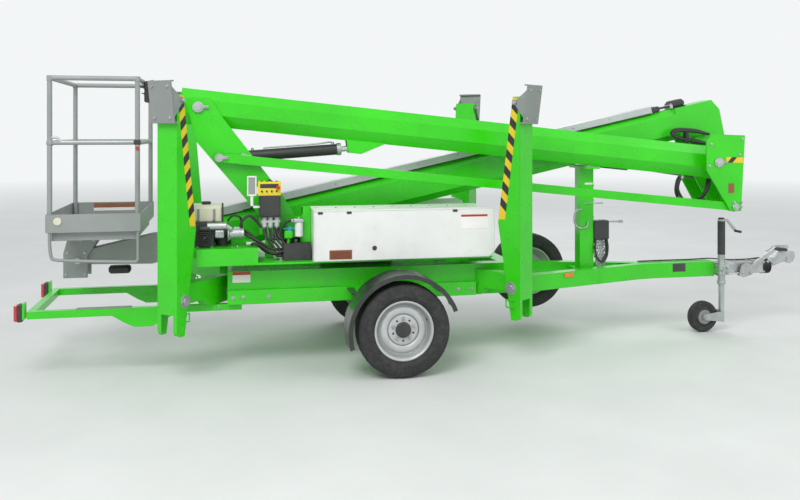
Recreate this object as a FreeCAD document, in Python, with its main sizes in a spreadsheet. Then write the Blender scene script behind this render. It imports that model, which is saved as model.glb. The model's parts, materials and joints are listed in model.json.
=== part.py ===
import FreeCAD, Part
import math
import os
import re
import Sketcher

# Trailer mounted articulating boom lift, parked on its two road wheels and its jockey wheel.
# Millimetres. +X is forward, towards the coupling, +Y is left and +Z is up.
# The origin is under the middle of the overall length and width, on the ground.
# Every piece is measured from the axle: x from the wheel centres, z from the ground.

Vector = FreeCAD.Vector

# Each row: the size's name, its value and what it is.
DIMENSIONS = (
    ("axleX", -545, "axle line, from the middle of the overall length"),
    # Road wheels
    ("wheelY", 836, "middle of the tyre, from the centre line"),
    ("tyreRadius", 327, "outer radius of the tyre"),
    ("tyreWidth", 195, "section width of the tyre"),
    ("tyreCrown", 6, "rise of the tread between its shoulders"),
    ("tyreWall", 137, "height of the tyre above the bead seat"),
    ("rimFlange", 18, "height of the rim flange above the bead seat"),
    ("rimWidth", 150, "width over the rim flanges"),
    ("rimWall", 6, "thickness of the rim"),
    ("beadFit", 0.3, "gap between the tyre bead and the rim"),
    ("discWall", 8, "thickness of the wheel disc"),
    ("hubRadius", 62, "radius of the hub"),
    ("hubCapRadius", 44, "radius of the black hub cap"),
    ("axleRadius", 27, "radius of the stub axle"),
    ("hubFit", 0.05, "radial clearance of a pin or stub in its bore"),
    ("axleTubeX", 165, "torsion tube, forward of the wheel centre"),
    ("axleTubeZ", 385, "height of the torsion tube"),
    ("axleTube", 88, "side of the torsion tube"),
    ("guardGap", 61, "gap between the tyre and its mudguard"),
    ("guardWall", 5, "thickness of the mudguard"),
    ("guardWidth", 236, "width of the mudguard"),
    ("guardLip", 26, "depth of the mudguard's outer lip"),
    # Chassis
    ("chassisRearX", -1190, "rear end of the side beams"),
    ("chassisFrontX", 960, "front end of the side beams"),
    ("chassisTopZ", 700, "top of the side beams"),
    ("chassisDeep", 130, "depth of a side beam above its sill"),
    ("sillDeep", 100, "depth of the sill below the beam"),
    ("sillOut", 35, "how far the sill stands out of the beam"),
    ("sillFrontX", 640, "front end of the sills"),
    ("beamWall", 6, "wall of the hollow chassis beams"),
    ("beamY", 400, "middle of a side beam"),
    ("beamWide", 110, "width of a side beam"),
    ("crossWide", 120, "width of a cross member"),
    # Outriggers
    ("legRearX", -1533, "rear outrigger pivots"),
    ("legFrontX", 886, "front outrigger pivots"),
    ("legY", 701, "outrigger pivots, from the centre line"),
    ("legZ", 560, "height of the outrigger pivots"),
    ("legYaw", 38, "swing plane, turned from straight sideways"),
    ("legWide", 168, "width of an outrigger leg"),
    ("legWall", 10, "plate thickness of a leg"),
    ("legOuter", 80, "straight outer face, from the pivot"),
    ("legTipInner", -18, "inner face at the tip, from the pivot"),
    ("legHipInner", 109, "inner face at its deepest"),
    ("legToeInner", -4, "inner face at the lower end"),
    ("legHipZ", 470, "height of the deepest section above the pivot"),
    ("legTipZ", 1390, "tip above the pivot"),
    ("legToeZ", 230, "lower end below the pivot"),
    ("legSlotTop", 150, "top of the slot for the arm, above the pivot"),
    ("legMouth", 84, "top of the slot in the outer wall, below the pivot"),
    ("legMouthWide", 104, "width of that slot"),
    ("legToeRound", 34, "corner taken off the leg's lower end"),
    ("legPin", 22, "radius of the outrigger pivot pin"),
    ("armWide", 88, "width of a chassis arm"),
    ("armDeep", 188, "depth of a chassis arm at its root"),
    ("armEye", 50, "radius of the rounded end of the arm"),
    ("armLow", 34, "underside of the arm below the pivot, inside the leg"),
    ("armThroat", 250, "length of the arm that enters the leg"),
    ("armRise", 100, "top of the arm above the pivot"),
    ("armBoss", 136, "length of the boss round the pivot pin"),
    ("armLong", 510, "length of a chassis arm, from the pivot inwards"),
    ("footPinZ", 1345, "foot pin above the leg pivot"),
    ("footPin", 12, "radius of the foot pin"),
    ("footPinX", 45, "foot pin, outwards of the leg pivot"),
    ("footLong", 284, "length of the foot plate"),
    ("footWide", 196, "width of the foot plate"),
    ("footDrop", 85, "foot plate's inner face, from its pin"),
    ("footWall", 10, "thickness of the foot plate"),
    ("footLean", 8, "outward lean of the foot plate when stowed"),
    ("footLip", 22, "depth of the lips at the ends of the foot plate"),
    ("footEarLong", 196, "length of a foot's ears along its plate"),
    # Drawbar and coupling
    ("drawbarNoseX", 2890, "front end of the green drawbar"),
    ("drawbarJoinX", 2180, "where the two legs meet"),
    ("drawbarTopZ", 585, "top of the drawbar"),
    ("drawbarDeep", 125, "depth of the drawbar"),
    ("drawbarWide", 70, "width of one drawbar leg"),
    ("noseWide", 130, "width of the drawbar nose"),
    ("hitchTube", 100, "side of the galvanised hitch tube"),
    ("hitchTubeEnd", 3390, "front end of the hitch tube"),
    ("leverX", 3130, "pivot of the parking brake lever"),
    ("hitchZ", 520, "centre height of the hitch tube"),
    ("couplingEnd", 3695, "front of the coupling head"),
    ("ballZ", 600, "centre height of the ball socket"),
    ("ballX", 3610, "centre of the ball socket"),
    ("ballRadius", 25, "radius of the ball socket"),
    # Jockey wheel
    ("jockeyX", 2935, "axis of the jockey tube"),
    ("jockeyY", -100, "axis of the jockey tube, to the right"),
    ("jockeyTube", 30, "outer radius of the outer jockey tube"),
    ("jockeyInner", 24, "radius of the inner jockey tube"),
    ("jockeyTopZ", 950, "top of the outer jockey tube"),
    ("jockeyLowZ", 395, "lower end of the outer jockey tube"),
    ("jockeyTrail", 180, "trail of the jockey wheel behind its tube"),
    ("jockeyRadius", 130, "radius of the jockey wheel"),
    ("jockeyWide", 80, "width of the jockey wheel"),
    # Rear frame
    ("rearBarX", -2500, "rear cross bar"),
    ("rearRailY", 420, "middle of a rear rail"),
    ("rearRailZ", 445, "middle height of the rear rails"),
    ("rearRail", 50, "side of the rear rails"),
    ("bellyBack", 575, "middle of a rail's belly, behind the side beams"),
    ("bellyLong", 300, "length of that belly"),
    ("bellyDeep", 84, "depth of that belly below the rail"),
    ("lampX", -2610, "rear face of the tail lamps"),
    # Turret
    ("slewX", -200, "axis of the slew ring"),
    ("slewRadius", 290, "outer radius of the slew ring"),
    ("deckZ", 777, "top of the turret deck"),
    ("deckWall", 14, "thickness of the turret deck"),
    ("deckRearX", -1400, "rear end of the turret deck"),
    ("deckFrontX", 730, "front end of the turret deck"),
    ("deckY", 600, "half width of the turret deck"),
    ("notchFit", 20, "rise of the upper boom above the deck where its notch ends"),
    ("notchSide", 45, "gap between the upper boom and the sides of the notch"),
    ("trayZ", 883, "top of the engine tray"),
    # Covers
    ("coverRearX", -596, "rear end of the covers"),
    ("coverFrontX", 740, "front end of the covers"),
    ("coverOutY", 622, "outer face of the covers"),
    ("coverRightIn", 290, "inner face of the right cover"),
    ("coverLeftIn", 200, "inner face of the left cover"),
    ("coverTopZ", 1142, "top of the covers"),
    ("coverWall", 8, "panel thickness of the covers"),
    ("doorFit", 0.5, "gap behind a closed door"),
    ("coverRound", 60, "rounded upper front corner of the covers"),
    ("batteryHigh", 260, "height of the batteries"),
    ("batteryWide", 180, "width of a battery"),
    ("coverToe", 45, "cut lower front corner of the covers"),
    # Booms
    ("rootPinX", -1400, "pin of the lower boom on the king post"),
    ("rootPinZ", 1876, "height of that pin"),
    ("lowerLength", 4170, "lower boom, pin to pin"),
    ("lowerSlope", 5.94, "stowed fall of the lower boom, degrees"),
    ("lowerDeep", 262, "depth of the lower boom"),
    ("lowerWide", 190, "width of the lower boom"),
    ("lowerY", -160, "middle plane of the lower boom"),
    ("lowerTail", 130, "root end of the lower boom, behind its pin"),
    ("lowerHead", 20, "far end of the lower boom, beyond the knuckle pin"),
    ("boomChamfer", 52, "corner chamfer of the booms"),
    ("lowerRiseTop", 73, "rise of the upper chamfer of the lower boom"),
    ("lowerRiseLow", 84, "rise of the lower chamfer of the lower boom"),
    ("boomWall", 6, "plate thickness of the booms"),
    ("tieDX", 150, "tie rod pins, forward of the boom pins"),
    ("tieDZ", -368, "tie rod pins, below the boom pins"),
    ("tieY", -310, "middle plane of the tie rod"),
    ("tieWide", 50, "width of the tie rod"),
    ("tieDeep", 66, "depth of the tie rod"),
    ("boomPin", 30, "radius of the boom pins"),
    ("tiePin", 20, "radius of the tie rod pins"),
    ("cheekWall", 12, "plate thickness of king post and knuckle"),
    ("postRightY", -271, "middle of the king post's right plate"),
    ("midPlateY", -49, "middle of the post's left and the knuckle's middle plate"),
    ("knuckleRightY", -351, "middle of the knuckle's right plate"),
    ("knuckleLeftY", 189, "middle of the knuckle's left plate"),
    ("upperDX", 170, "upper boom pin, forward of the knuckle pin"),
    ("upperDZ", 169, "upper boom pin, above the knuckle pin"),
    ("upperY", 70, "middle plane of the upper boom"),
    ("upperDeep", 268, "depth of the upper boom"),
    ("upperWide", 170, "width of the upper boom"),
    ("upperLow", 86, "underside of the upper boom above its pin"),
    ("upperHeel", 112, "root end of the upper boom, beyond its pin"),
    ("flyDeep", 214, "depth of the sliding boom"),
    ("flyWide", 140, "width of the sliding boom"),
    ("flyLow", 124, "underside of the sliding boom above the pin"),
    ("flyChamfer", 38, "corner chamfer of the sliding boom"),
    ("flyInside", 3150, "length of sliding boom kept in the upper boom"),
    ("flyOut", 200, "length of sliding tube that stands out when stowed"),
    ("noseLong", 504, "end of the sliding tube to the levelling pin"),
    ("flyPinUp", 276, "levelling pin of the basket, above the boom pin in its line"),
    ("padFit", 0.3, "running gap of the slide pads"),
    ("trayHigh", 60, "height of the hose tray on the upper boom"),
    ("trayWide", 120, "width of the hose tray"),
    # Basket
    ("basketPinX", -2271, "levelling pin of the basket"),
    ("basketPinZ", 745, "height of that pin"),
    ("basketRear", 128, "rear of the basket, behind the levelling pin"),
    ("basketFront", 490, "front of the basket, ahead of the levelling pin"),
    ("basketRightY", -480, "right side of the basket"),
    ("basketLeftY", 530, "left side of the basket"),
    ("basketFloor", 267, "top of the basket floor above the levelling pin"),
    ("basketTop", 1337, "top of the guard rail above the levelling pin"),
    ("basketMid", 875, "middle of the mid rail above the levelling pin"),
    ("railRadius", 17, "radius of the guard rail tube"),
    ("toeHigh", 120, "height of the toe board"),
    ("toeWall", 5, "thickness of floor and toe board"),
    ("floorBeam", 60, "side of the beams under the basket floor"),
    ("consoleWide", 220, "width of the control console"),
    ("consoleDeep", 80, "depth of the control console"),
    ("consoleHigh", 150, "height of the control console"),
    # Lift cylinders
    ("lowBaseAlong", 325, "base pin of the lower lift cylinder, forward of the root pin"),
    ("lowBaseUp", -364, "height of that pin from the root pin"),
    ("lowEyeAlong", 1190, "rod pin of the lower lift cylinder, along the lower boom"),
    ("lowEyeUp", -182, "height of that pin from the middle of the boom"),
    ("highBaseAlong", 105, "base pin of the upper lift cylinder, forward of the knuckle pin"),
    ("highBaseUp", -120, "height of that pin from the knuckle pin"),
    ("highEyeAlong", -856, "rod pin of the upper lift cylinder, along the upper boom"),
    ("highEyeUp", 10, "height of that pin from the boom pin"),
    ("lowBarrel", 735, "lower lift cylinder, base pin to the mouth of its barrel"),
    ("highBarrel", 620, "upper lift cylinder, base pin to the mouth of its barrel"),
    ("barrelRadius", 42, "outer radius of the cylinder barrels"),
    ("rodRadius", 22, "radius of the piston rods"),
    ("ramEye", 38, "radius of the cylinder eyes"),
    ("ramPin", 16, "radius of the cylinder pins"),
    ("ramWide", 60, "width of the cylinder eyes"),
    ("ramFoot", 95, "closed end of a barrel to the end of its rod, from the base pin"),
    ("earWall", 10, "plate thickness of the cylinder ears"),
    # Engine and controls
    ("engineLong", 130, "length of the engine block"),
    ("engineY", -500, "right side of the engine"),
    ("tankLong", 210, "length of the fuel tank"),
    ("tankWide", 220, "width of the fuel tank"),
    ("tankHigh", 112, "height of the fuel tank"),
    ("controlX", -965, "rear of the control box"),
    ("controlY", -475, "right side of the control box"),
    ("standHigh", 1082, "underside of the control box"),
    ("valveLong", 196, "length of the valve box"),
    ("valveHigh", 118, "height of the valve box"),
    # Other
    ("spareX", 1417, "middle of the spare wheel"),
    ("spareY", 530, "middle plane of the spare wheel"),
    ("spareZ", 470, "height of the spare wheel's centre"),
    ("restBack", 1042, "boom rest, behind the knuckle pin"),
    ("restWide", 120, "width of the boom rest"),
    ("postDeep", 100, "depth of the boom rest's post"),
    ("restPad", 20, "thickness of the boom rest's saddle"),
    ("restFit", 0.3, "gap between the boom rest and a boom"),
)

# Sizes that follow from the others: rim and mudguard from the tyre, and the folded upper boom, which
# runs from the knuckle to the basket's pin.
FOLLOWING = (
    ("rimSeat", "tyreRadius - tyreWall", "radius of the bead seat"),
    ("rimRadius", "rimSeat + rimFlange", "outer radius of the rim flange"),
    ("discRoom", "rimSeat - 16 - rimWall - hubRadius", "hub to the drop centre, across the wheel disc"),
    ("guardRadius", "tyreRadius + guardGap", "inner radius of the mudguard"),
    ("knuckleX", "rootPinX + lowerLength * cos(lowerSlope)", "knuckle pin of the lower boom"),
    ("knuckleZ", "rootPinZ - lowerLength * sin(lowerSlope)", "height of that pin"),
    ("upperX", "knuckleX + upperDX", "pin of the upper boom"),
    ("upperZ", "knuckleZ + upperDZ", "height of that pin"),
    ("foldedSpan", "sqrt((upperX - basketPinX)^2 + (upperZ - basketPinZ)^2)",
     "upper boom's pin to the basket's pin"),
    ("upperSlope", "(atan2(upperZ - basketPinZ; upperX - basketPinX) + asin(flyPinUp / foldedSpan)) / 1deg",
     "stowed fall of the upper boom to its tip, degrees"),
    ("flyReach", "sqrt(foldedSpan^2 - flyPinUp^2)", "basket's pin, along the upper boom from its pin"),
    ("flyEnd", "flyReach - noseLong", "pin to the end of the sliding tube"),
    ("upperLength", "flyEnd - flyOut", "pin to the open end of the upper boom"),
    ("restX", "knuckleX - restBack", "boom rest"),
    ("notchX", "upperX - (upperZ + upperLow / cos(upperSlope) - deckZ - notchFit) / tan(upperSlope)",
     "front of the notch in the deck for the upper boom"),
)

doc = FreeCAD.newDocument("BoomLift")
sheet = doc.addObject("Spreadsheet::Sheet", "dims")
ROWS = DIMENSIONS + tuple((alias, "=" + rule, note) for alias, rule, note in FOLLOWING)
for row, (alias, value, note) in enumerate(ROWS, 1):
    sheet.set(f"A{row}", alias)
    sheet.set(f"B{row}", str(value))
    sheet.set(f"C{row}", note)
    sheet.setAlias(f"B{row}", alias)
doc.recompute()
ALIASES = {row[0] for row in ROWS}


def size(alias):
    """The sheet's value of one size."""
    return float(sheet.get(alias))


def formula(value):
    """A size or sum of sizes, as an expression on the sheet."""
    return re.sub(r"[A-Za-z]\w*", lambda m: f"dims.{m[0]}" if m[0] in ALIASES else m[0], str(value))


def bind(obj, prop, value):
    obj.setExpression(prop, formula(value))


def place(obj, at=(0, 0, 0), axis=None, angle=0):
    """Set an object down at a point, turned about one axis."""
    if axis:
        obj.Placement = FreeCAD.Placement(Vector(), FreeCAD.Rotation(Vector(*axis), 1))
        bind(obj, "Placement.Rotation.Angle", angle)
    for name, value in zip("xyz", at):
        bind(obj, f"Placement.Base.{name}", value)
    return obj


def draw(sketch, outlines, circles):
    """Closed outlines of points, and circles, every coordinate bound to the sheet."""
    for outline in outlines:
        first = sketch.GeometryCount
        count = len(outline)
        turns = [2 * math.pi * i / count for i in range(count)]
        ring = [Vector(90 * math.cos(turn), 90 * math.sin(turn)) for turn in turns]
        for i in range(count):
            sketch.addGeometry(Part.LineSegment(ring[i], ring[(i + 1) % count]), False)
        for i in range(count):
            joint = Sketcher.Constraint("Coincident", first + i, 2, first + (i + 1) % count, 1)
            sketch.addConstraint(joint)
        for i, (across, up) in enumerate(outline):
            for kind, value in (("DistanceX", across), ("DistanceY", up)):
                number = sketch.addConstraint(Sketcher.Constraint(kind, -1, 1, first + i, 1, 1.0))
                sketch.setExpression(f"Constraints[{number}]", formula(value))
    for across, up, radius in circles:
        item = sketch.addGeometry(Part.Circle(Vector(), Vector(0, 0, 1), 5), False)
        rows = (
            (Sketcher.Constraint("DistanceX", -1, 1, item, 3, 1.0), across),
            (Sketcher.Constraint("DistanceY", -1, 1, item, 3, 1.0), up),
            (Sketcher.Constraint("Radius", item, 5.0), radius),
        )
        for constraint, value in rows:
            number = sketch.addConstraint(constraint)
            sketch.setExpression(f"Constraints[{number}]", formula(value))


def new_sketch(body, plane, outlines, circles=()):
    sketch = body.newObject("Sketcher::SketchObject", body.Name + "_sketch")
    support = next(f for f in body.Origin.OriginFeatures if f.Role == plane)
    sketch.AttachmentSupport = [(support, "")]
    sketch.MapMode = "FlatFace"
    draw(sketch, outlines, circles)
    return sketch


def slab(name, plane, outlines, depth, at=(0, 0, 0), axis=None, angle=0, circles=(), pockets=()):
    """A profile padded to both sides of its plane, with pockets cut the same way."""
    body = doc.addObject("PartDesign::Body", name)
    pad = body.newObject("PartDesign::Pad", name + "_pad")
    pad.Profile = new_sketch(body, plane, outlines, circles)
    pad.SideType = "Symmetric"
    bind(pad, "Length", depth)
    body.Tip = pad
    for outline, cut_depth in pockets:
        pocket = body.newObject("PartDesign::Pocket", name + "_pocket")
        pocket.Profile = new_sketch(body, plane, [outline])
        pocket.SideType = "Symmetric"
        bind(pocket, "Length", cut_depth)
        body.Tip = pocket
    return place(body, at, axis, angle)


def turned(name, outline, at=(0, 0, 0), axis=None, angle=0):
    """A profile of radius and height, turned about Z."""
    body = doc.addObject("PartDesign::Body", name)
    revolution = body.newObject("PartDesign::Revolution", name + "_turn")
    sketch = new_sketch(body, "XZ_Plane", [outline])
    revolution.Profile = sketch
    revolution.ReferenceAxis = (sketch, ["V_Axis"])
    revolution.Angle = 360
    body.Tip = revolution
    return place(body, at, axis, angle)


def box(sizes, at, axis=None, angle=0):
    obj = doc.addObject("Part::Box", "box")
    for prop, value in zip(("Length", "Width", "Height"), sizes):
        bind(obj, prop, value)
    return place(obj, at, axis, angle)


TURNS = {"X": ((0, 1, 0), 90), "Y": ((1, 0, 0), -90), "Z": (None, 0)}


def cylinder(radius, length, at, along="Z"):
    """A round bar from a point, in the +X, +Y or +Z direction."""
    obj = doc.addObject("Part::Cylinder", "bar")
    bind(obj, "Radius", radius)
    bind(obj, "Height", length)
    return place(obj, at, *TURNS[along])


def fuse(name, members):
    obj = doc.addObject("Part::MultiFuse", name)
    obj.Shapes = members
    return obj


def cut(name, base, tool):
    obj = doc.addObject("Part::Cut", name)
    obj.Base = base
    obj.Tool = tool
    return obj


def gather(name, members):
    """Like pieces of one sub-part that don't touch."""
    obj = doc.addObject("Part::Compound", name)
    obj.Links = members
    return obj


PIECES = []


def keep(obj, label):
    """Name a finished sub-part, and move it from the axle line to the part's own origin."""
    obj.Label = label
    held = [text for path, text in obj.ExpressionEngine if path.endswith("Placement.Base.x")]
    obj.setExpression("Placement.Base.x", f"dims.axleX + ({held[0]})" if held else "dims.axleX")
    PIECES.append(obj)
    return obj


def rectangle(wide, deep, low=0):
    """A rectangle about the middle, its lower edge at low."""
    return [(f"-({wide}) / 2", low), (f"({wide}) / 2", low),
            (f"({wide}) / 2", f"{low} + {deep}"), (f"-({wide}) / 2", f"{low} + {deep}")]


def hollow(name, outline, inner, start, length, y="0"):
    """A tube along X from start, drawn by its outer and inner section."""
    return slab(name, "YZ_Plane", [outline, inner], length, (f"{start} + ({length}) / 2", y, "0"))


def chamfered(wide, deep, low, across, rise_low, rise_high):
    """Eight sided boom section, its underside at low."""
    half = f"({wide}) / 2"
    high = f"({low}) + ({deep})"
    return [
        (f"-({half} - {across})", low), (f"{half} - {across}", low),
        (half, f"{low} + {rise_low}"), (half, f"{high} - ({rise_high})"),
        (f"{half} - {across}", high), (f"-({half} - {across})", high),
        (f"-({half})", f"{high} - ({rise_high})"), (f"-({half})", f"{low} + {rise_low}"),
    ]


# Levels that several pieces share
UPPER_HIGH = "(upperLow + upperDeep)"
BEAM_LOW = "(chassisTopZ - chassisDeep)"
SILL_LOW = "(chassisTopZ - chassisDeep - sillDeep)"
Y_AXIS = (0, 1, 0)
Z_AXIS = (0, 0, 1)

# Each side: its name, and the sign of Y there
SIDES = (("right", -1), ("left", 1))

# Each outrigger: its name, its place along X, the sign of Y there, and which way its swing plane faces
LEGS = (
    ("rear_right", "legRearX", -1, "-(90 + legYaw)"),
    ("rear_left", "legRearX", 1, "90 + legYaw"),
    ("front_right", "legFrontX", -1, "-(90 - legYaw)"),
    ("front_left", "legFrontX", 1, "90 - legYaw"),
)


def tyre_outline():
    """Radius and height of the tyre section, its middle plane at height 0."""
    half = "tyreWidth / 2"
    bead = "rimSeat + rimWall + beadFit"
    edge = "(rimWidth / 2 - rimWall - beadFit)"
    return [
        (bead, f"-{edge}"),
        ("rimRadius + 2", f"-{edge}"),
        ("rimSeat + 0.36 * tyreWall", f"-({half})"),
        ("tyreRadius - 0.33 * tyreWall", f"-({half})"),
        ("tyreRadius - tyreCrown", f"-({half} - 22)"),
        ("tyreRadius", f"-({half} - 60)"),
        ("tyreRadius", f"{half} - 60"),
        ("tyreRadius - tyreCrown", f"{half} - 22"),
        ("tyreRadius - 0.33 * tyreWall", half),
        ("rimSeat + 0.36 * tyreWall", half),
        ("rimRadius + 2", edge),
        (bead, edge),
    ]


def rim_outline():
    """Steel rim: flange, bead seat, drop centre and flange, in one thickness."""
    half = "rimWidth / 2"
    return [
        ("rimRadius", f"-({half})"), ("rimRadius", f"-({half} - rimWall)"),
        ("rimSeat + rimWall", f"-({half} - rimWall)"), ("rimSeat + rimWall", "-34"),
        ("rimSeat - 16", "-22"), ("rimSeat - 16", "22"),
        ("rimSeat + rimWall", "34"), ("rimSeat + rimWall", f"{half} - rimWall"),
        ("rimRadius", f"{half} - rimWall"), ("rimRadius", half),
        ("rimSeat", half), ("rimSeat", "38"),
        ("rimSeat - 16 - rimWall", "26"), ("rimSeat - 16 - rimWall", "-26"),
        ("rimSeat", "-38"), ("rimSeat", f"-({half})"),
    ]


def disc_outline():
    """Dished wheel disc from the hub face out to the drop centre, open at the hub bore."""
    face = [("hubRadius - 18", "20"), ("hubRadius + 0.38 * discRoom", "20"), ("hubRadius + 0.59 * discRoom", "38"),
            ("hubRadius + 0.83 * discRoom", "30"), ("hubRadius + discRoom", "6")]
    return face + [(across, f"{up} - discWall") for across, up in reversed(face)]


def wheel(sign, at, names, extras=()):
    """A tyre and its rim, the dished face outwards."""
    turn = ((1, 0, 0), f"{-90 * sign}")
    keep(turned(names[0], tyre_outline(), at, *turn), names[0])
    parts = [turned(names[1] + "_well", rim_outline()), turned(names[1] + "_disc", disc_outline())]
    keep(place(fuse(names[1], parts + list(extras)), at, *turn), names[1])


def road_wheels():
    drum_radius = "hubRadius + 0.55 * discRoom"
    for side, sign in SIDES:
        drum = turned(f"drum_{side}", [
            ("axleRadius + hubFit", "-40"), (drum_radius, "-40"), (drum_radius, "5"), ("hubRadius", "5"),
            ("hubRadius", "20 - discWall"), ("hubCapRadius", "20 - discWall"),
            ("hubCapRadius", "52"), ("0", "52"), ("0", "30"), ("axleRadius + hubFit", "30"),
        ])
        wheel(sign, ("0", f"{sign} * wheelY", "tyreRadius"), (f"tyre_{side}", f"rim_{side}"), [drum])


def axle():
    """Torsion tube under the beams, a trailing arm and stub at each end."""
    tube_half = "axleTube / 2"
    members = [box(("axleTube", "2 * (wheelY - 130)", "axleTube"),
                   (f"axleTubeX - {tube_half}", "-(wheelY - 130)", f"axleTubeZ - {tube_half}"))]
    for side, sign in SIDES:
        members.append(slab(f"axle_arm_{side}", "XZ_Plane", [[
            ("-45", "tyreRadius - 40"), ("45", "tyreRadius - 40"), ("axleTubeX + 45", "axleTubeZ - 35"),
            ("axleTubeX + 45", "axleTubeZ + 35"), ("axleTubeX - 30", "axleTubeZ + 45"),
            ("-45", "tyreRadius + 45"),
        ]], "26", ("0", f"{sign} * (wheelY - 143)", "0")))
        start = "wheelY - 132" if sign > 0 else "-(wheelY + 28)"
        members.append(cylinder("axleRadius", "160", ("0", start, "tyreRadius"), "Y"))
        members.append(box(("110", "70", f"{SILL_LOW} - axleTubeZ - {tube_half}"),
                           ("axleTubeX - 55", f"{sign} * beamY - 35", f"axleTubeZ + {tube_half}")))
    keep(fuse("axle", members), "axle")


def mudguards():
    """Arched guards over the tyres, each on two brackets from the sill."""
    front, back = math.radians(20), math.radians(196)
    inner = size("guardRadius")
    outer = inner + size("guardWall")
    half = size("guardWidth") / 2
    sill = size("beamY") + size("beamWide") / 2 + size("sillOut")
    middle = size("wheelY")
    guards = []
    for side, sign in SIDES:
        edge = sign * half
        lip_low = edge - size("guardWall") if sign > 0 else edge
        lip = (inner - size("guardLip"), inner, lip_low, lip_low + size("guardWall"))
        rings = ((inner, outer, -half, half), lip)
        solids = []
        for small, large, low, high in rings:
            corner = [Vector(r * math.cos(a), low, r * math.sin(a))
                      for r, a in ((small, front), (large, front), (large, back), (small, back))]
            mid = (front + back) / 2
            tops = [Vector(r * math.cos(mid), low, r * math.sin(mid)) for r in (large, small)]
            edges = (Part.LineSegment(corner[0], corner[1]), Part.Arc(corner[1], tops[0], corner[2]),
                     Part.LineSegment(corner[2], corner[3]), Part.Arc(corner[3], tops[1], corner[0]))
            wire = Part.Wire([edge.toShape() for edge in edges])
            solids.append(Part.Face(wire).extrude(Vector(0, high - low, 0)))
        reach = middle - half - sill + 14
        height = size("chassisTopZ") - size("chassisDeep") - 12 - size("tyreRadius")
        for way in (-1, 1):
            across = way * math.sqrt(((inner + outer) / 2) ** 2 - height ** 2)
            start = sill - middle if sign > 0 else middle - sill - reach
            solids.append(Part.makeBox(50, reach, 8, Vector(across - 25, start, height - 4)))
        guard = solids[0].fuse(solids[1:])
        guard.translate(Vector(0, sign * middle, size("tyreRadius")))
        guards.append(guard)
    feature = doc.addObject("Part::Feature", "mudguards")
    feature.Shape = Part.makeCompound(guards)
    keep(feature, "mudguards")


def chassis():
    """Side beams with sills, cross members and the four arms that carry the outriggers."""
    length = "(chassisFrontX - chassisRearX)"
    inside = "(beamWide - 2 * beamWall)"
    members = []
    for side, sign in SIDES:
        members.append(hollow(f"beam_{side}", rectangle("beamWide", "chassisDeep", BEAM_LOW),
                              rectangle(inside, "chassisDeep - 2 * beamWall", f"{BEAM_LOW} + beamWall"),
                              "chassisRearX", length, f"{sign} * beamY"))
        members.append(hollow(f"sill_{side}", rectangle("beamWide + sillOut", "sillDeep", SILL_LOW),
                              rectangle(f"{inside} + sillOut", "sillDeep - 2 * beamWall",
                                        f"{SILL_LOW} + beamWall"),
                              "chassisRearX", "sillFrontX - chassisRearX", f"{sign} * (beamY + sillOut / 2)"))
        members.append(hollow(f"keel_{side}", rectangle("beamWide", "sillDeep", SILL_LOW),
                              rectangle(inside, "sillDeep - 2 * beamWall", f"{SILL_LOW} + beamWall"),
                              "sillFrontX", "chassisFrontX - sillFrontX", f"{sign} * beamY"))
    gap = "2 * beamY - beamWide"
    for x in ("chassisRearX", "slewX - 330", "slewX + 210", "chassisFrontX - crossWide"):
        members.append(slab("cross_member", "XZ_Plane", [
            rectangle("crossWide", "chassisDeep", BEAM_LOW),
            rectangle("crossWide - 2 * beamWall", "chassisDeep - 2 * beamWall", f"{BEAM_LOW} + beamWall"),
        ], gap, (f"{x} + crossWide / 2", "0", "0")))
    members.append(box(("660", gap, "16"), ("slewX - 330", f"-({gap}) / 2", "chassisTopZ - 16")))
    for name, x, sign, yaw in LEGS:
        arm = slab(f"arm_{name}", "XZ_Plane", [[
            ("-armLong", "armRise - armDeep"), ("-armLong", "armRise"), ("-2.2 * armEye", "armRise"),
            ("-armEye / 2", "armEye"), ("armEye / 2", "armEye"), ("armEye", "armEye / 2"), ("armEye", "0"),
            ("armLow", "-armLow"), ("-armThroat", "-armLow"), ("-armThroat - 50", "armRise - armDeep"),
        ]], "armWide", pockets=[([
            ("-armLong + 10", "armRise - armDeep + 10"), ("-armLong + 10", "armRise - 10"),
            ("-120", "armRise - 10"), ("-120", "10 - armLow"),
            ("-armThroat - 8", "10 - armLow"), ("-armThroat - 58", "armRise - armDeep + 10"),
        ], "armWide - 20")])
        boss = cylinder("armEye - 12", "armBoss", ("0", "-armBoss / 2", "0"), "Y")
        pin = cylinder("legPin", "legWide + 24", ("0", "-legWide / 2 - 12", "0"), "Y")
        members.append(place(fuse(f"arm_and_pin_{name}", [arm, boss, pin]),
                             (x, f"{sign} * legY", "legZ"), Z_AXIS, yaw))
    keep(fuse("chassis_frame", members), "chassis_frame")


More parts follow.
